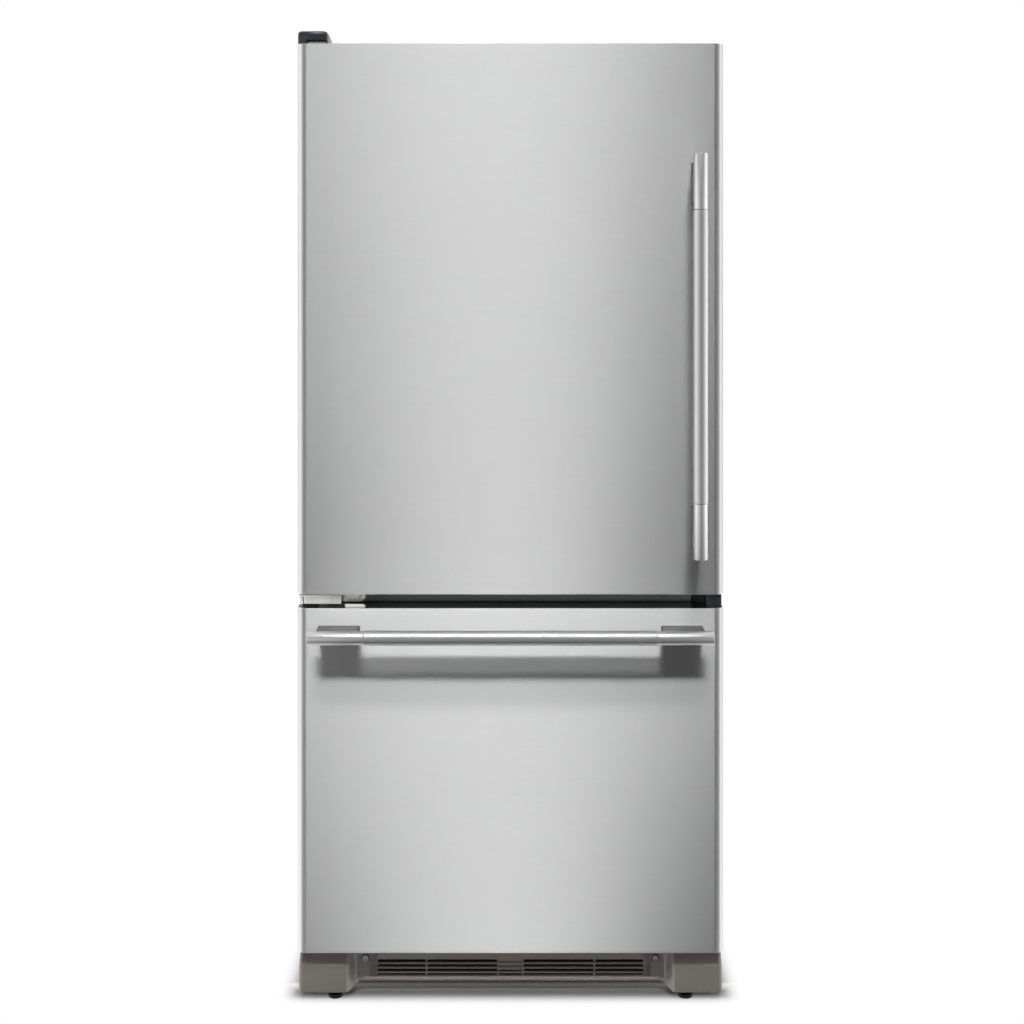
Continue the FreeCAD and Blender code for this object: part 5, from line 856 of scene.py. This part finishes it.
floor_material = bpy.data.materials.new("pale_floor")
floor_material.use_nodes = True
ground = floor_material.node_tree
matt = ground.nodes["Principled BSDF"]
shaded = ground.nodes.new("ShaderNodeVectorMath")
shaded.operation = "SCALE"
shaded.inputs[0].default_value = tone(246)[:3]
route = ground.nodes.new("ShaderNodeLightPath")
ground.links.new(shaded.outputs[0], matt.inputs["Base Color"])
matt.inputs["Roughness"].default_value = 0.9
matt.inputs["Specular IOR Level"].default_value = 0.0
lit = ground.nodes.new("ShaderNodeEmission")
clear = ground.nodes.new("ShaderNodeBsdfTransparent")
place = ground.nodes.new("ShaderNodeTexCoord")
spread = ground.nodes.new("ShaderNodeSeparateXYZ")
ground.links.new(place.outputs["Object"], spread.inputs[0])
# how far a place on the floor is past the footprint, which is the rectangle of these half sizes round this y
FOOT_HALF_X, FOOT_HALF_Y, FOOT_MIDDLE_Y = 0.365, 0.345, 0.055
from_middle = maths(ground, "SUBTRACT", spread.outputs["Y"], FOOT_MIDDLE_Y)
past_x = maths(ground, "SUBTRACT", maths(ground, "ABSOLUTE", spread.outputs["X"]), FOOT_HALF_X)
past_y = maths(ground, "SUBTRACT", maths(ground, "ABSOLUTE", from_middle), FOOT_HALF_Y)
# painted contact shadow: for camera rays the floor's colour is darkened round and under the footprint; both
# ramps run from 50 mm inside the footprint's edge to 50 mm outside it
edge = ramp(ground, maths(ground, "MULTIPLY_ADD", maths(ground, "MAXIMUM", past_x, past_y), 10, 0.5),
            [(0.0, 0.3), (0.46, 0.34), (0.67, 0.27), (0.81, 0.62), (1.0, 1.0)])
# painted light inside that painted shadow: the floor just under the grille is painted a little lighter
painted_sill_light = ramp(ground, maths(ground, "MULTIPLY_ADD", spread.outputs["Y"], -10, -2.4),
            [(0.0, 0.0), (0.12, 0.0), (0.24, 1.0), (0.35, 0.75), (0.46, 0.37), (0.52, 0.0), (1.0, 0.0)])
# the painted shade scales the floor's colour for camera rays only
dim = maths(ground, "POWER", maths(ground, "MAXIMUM", edge, painted_sill_light), route.outputs["Is Camera Ray"])
ground.links.new(dim, shaded.inputs["Scale"])
beside, before = maths(ground, "MAXIMUM", past_x, 0), maths(ground, "MAXIMUM", past_y, 0)
away = maths(ground, "SQRT", maths(ground, "ADD", maths(ground, "MULTIPLY", beside, beside),
                                   maths(ground, "MULTIPLY", before, before)))
far = ground.nodes.new("ShaderNodeMapRange")
far.interpolation_type = "SMOOTHSTEP"
far.inputs["From Min"].default_value = 0.004
far.inputs["From Max"].default_value = 0.055
ground.links.new(away, far.inputs["Value"])
white = maths(ground, "MULTIPLY", far.outputs["Result"], route.outputs["Is Camera Ray"])
first_mix = ground.nodes.new("ShaderNodeMixShader")
ground.links.new(white, first_mix.inputs["Fac"])
ground.links.new(matt.outputs[0], first_mix.inputs[1])
ground.links.new(lit.outputs[0], first_mix.inputs[2])
second_mix = ground.nodes.new("ShaderNodeMixShader")
ground.links.new(route.outputs["Is Glossy Ray"], second_mix.inputs["Fac"])
ground.links.new(first_mix.outputs[0], second_mix.inputs[1])
ground.links.new(clear.outputs[0], second_mix.inputs[2])
ground.links.new(second_mix.outputs[0], ground.nodes["Material Output"].inputs["Surface"])
floor_mesh = bpy.data.meshes.new("floor")
floor_mesh.from_pydata([(-30, -30, 0), (30, -30, 0), (30, 30, 0), (-30, 30, 0)], [], [(0, 1, 2, 3)])
floor_mesh.materials.append(floor_material)
floor = bpy.data.objects.new("floor", floor_mesh)
bpy.context.scene.collection.objects.link(floor)

# the photo's camera: its distance in front of the row's middle and its height, in metres
CAMERA_BACK, CAMERA_UP = 2.74575, 1.2208
camera_data = bpy.data.cameras.new("camera")
camera_data.sensor_width = 36
camera_data.lens = 48.17
camera_data.shift_x = 0.0015
camera_data.shift_y = -0.1973
camera = bpy.data.objects.new("camera", camera_data)
camera.location = (0, -CAMERA_BACK, CAMERA_UP)
camera.rotation_euler = (math.radians(90), 0, 0)
bpy.context.scene.collection.objects.link(camera)
bpy.context.scene.camera = camera
bpy.context.scene.view_settings.view_transform = "Standard"
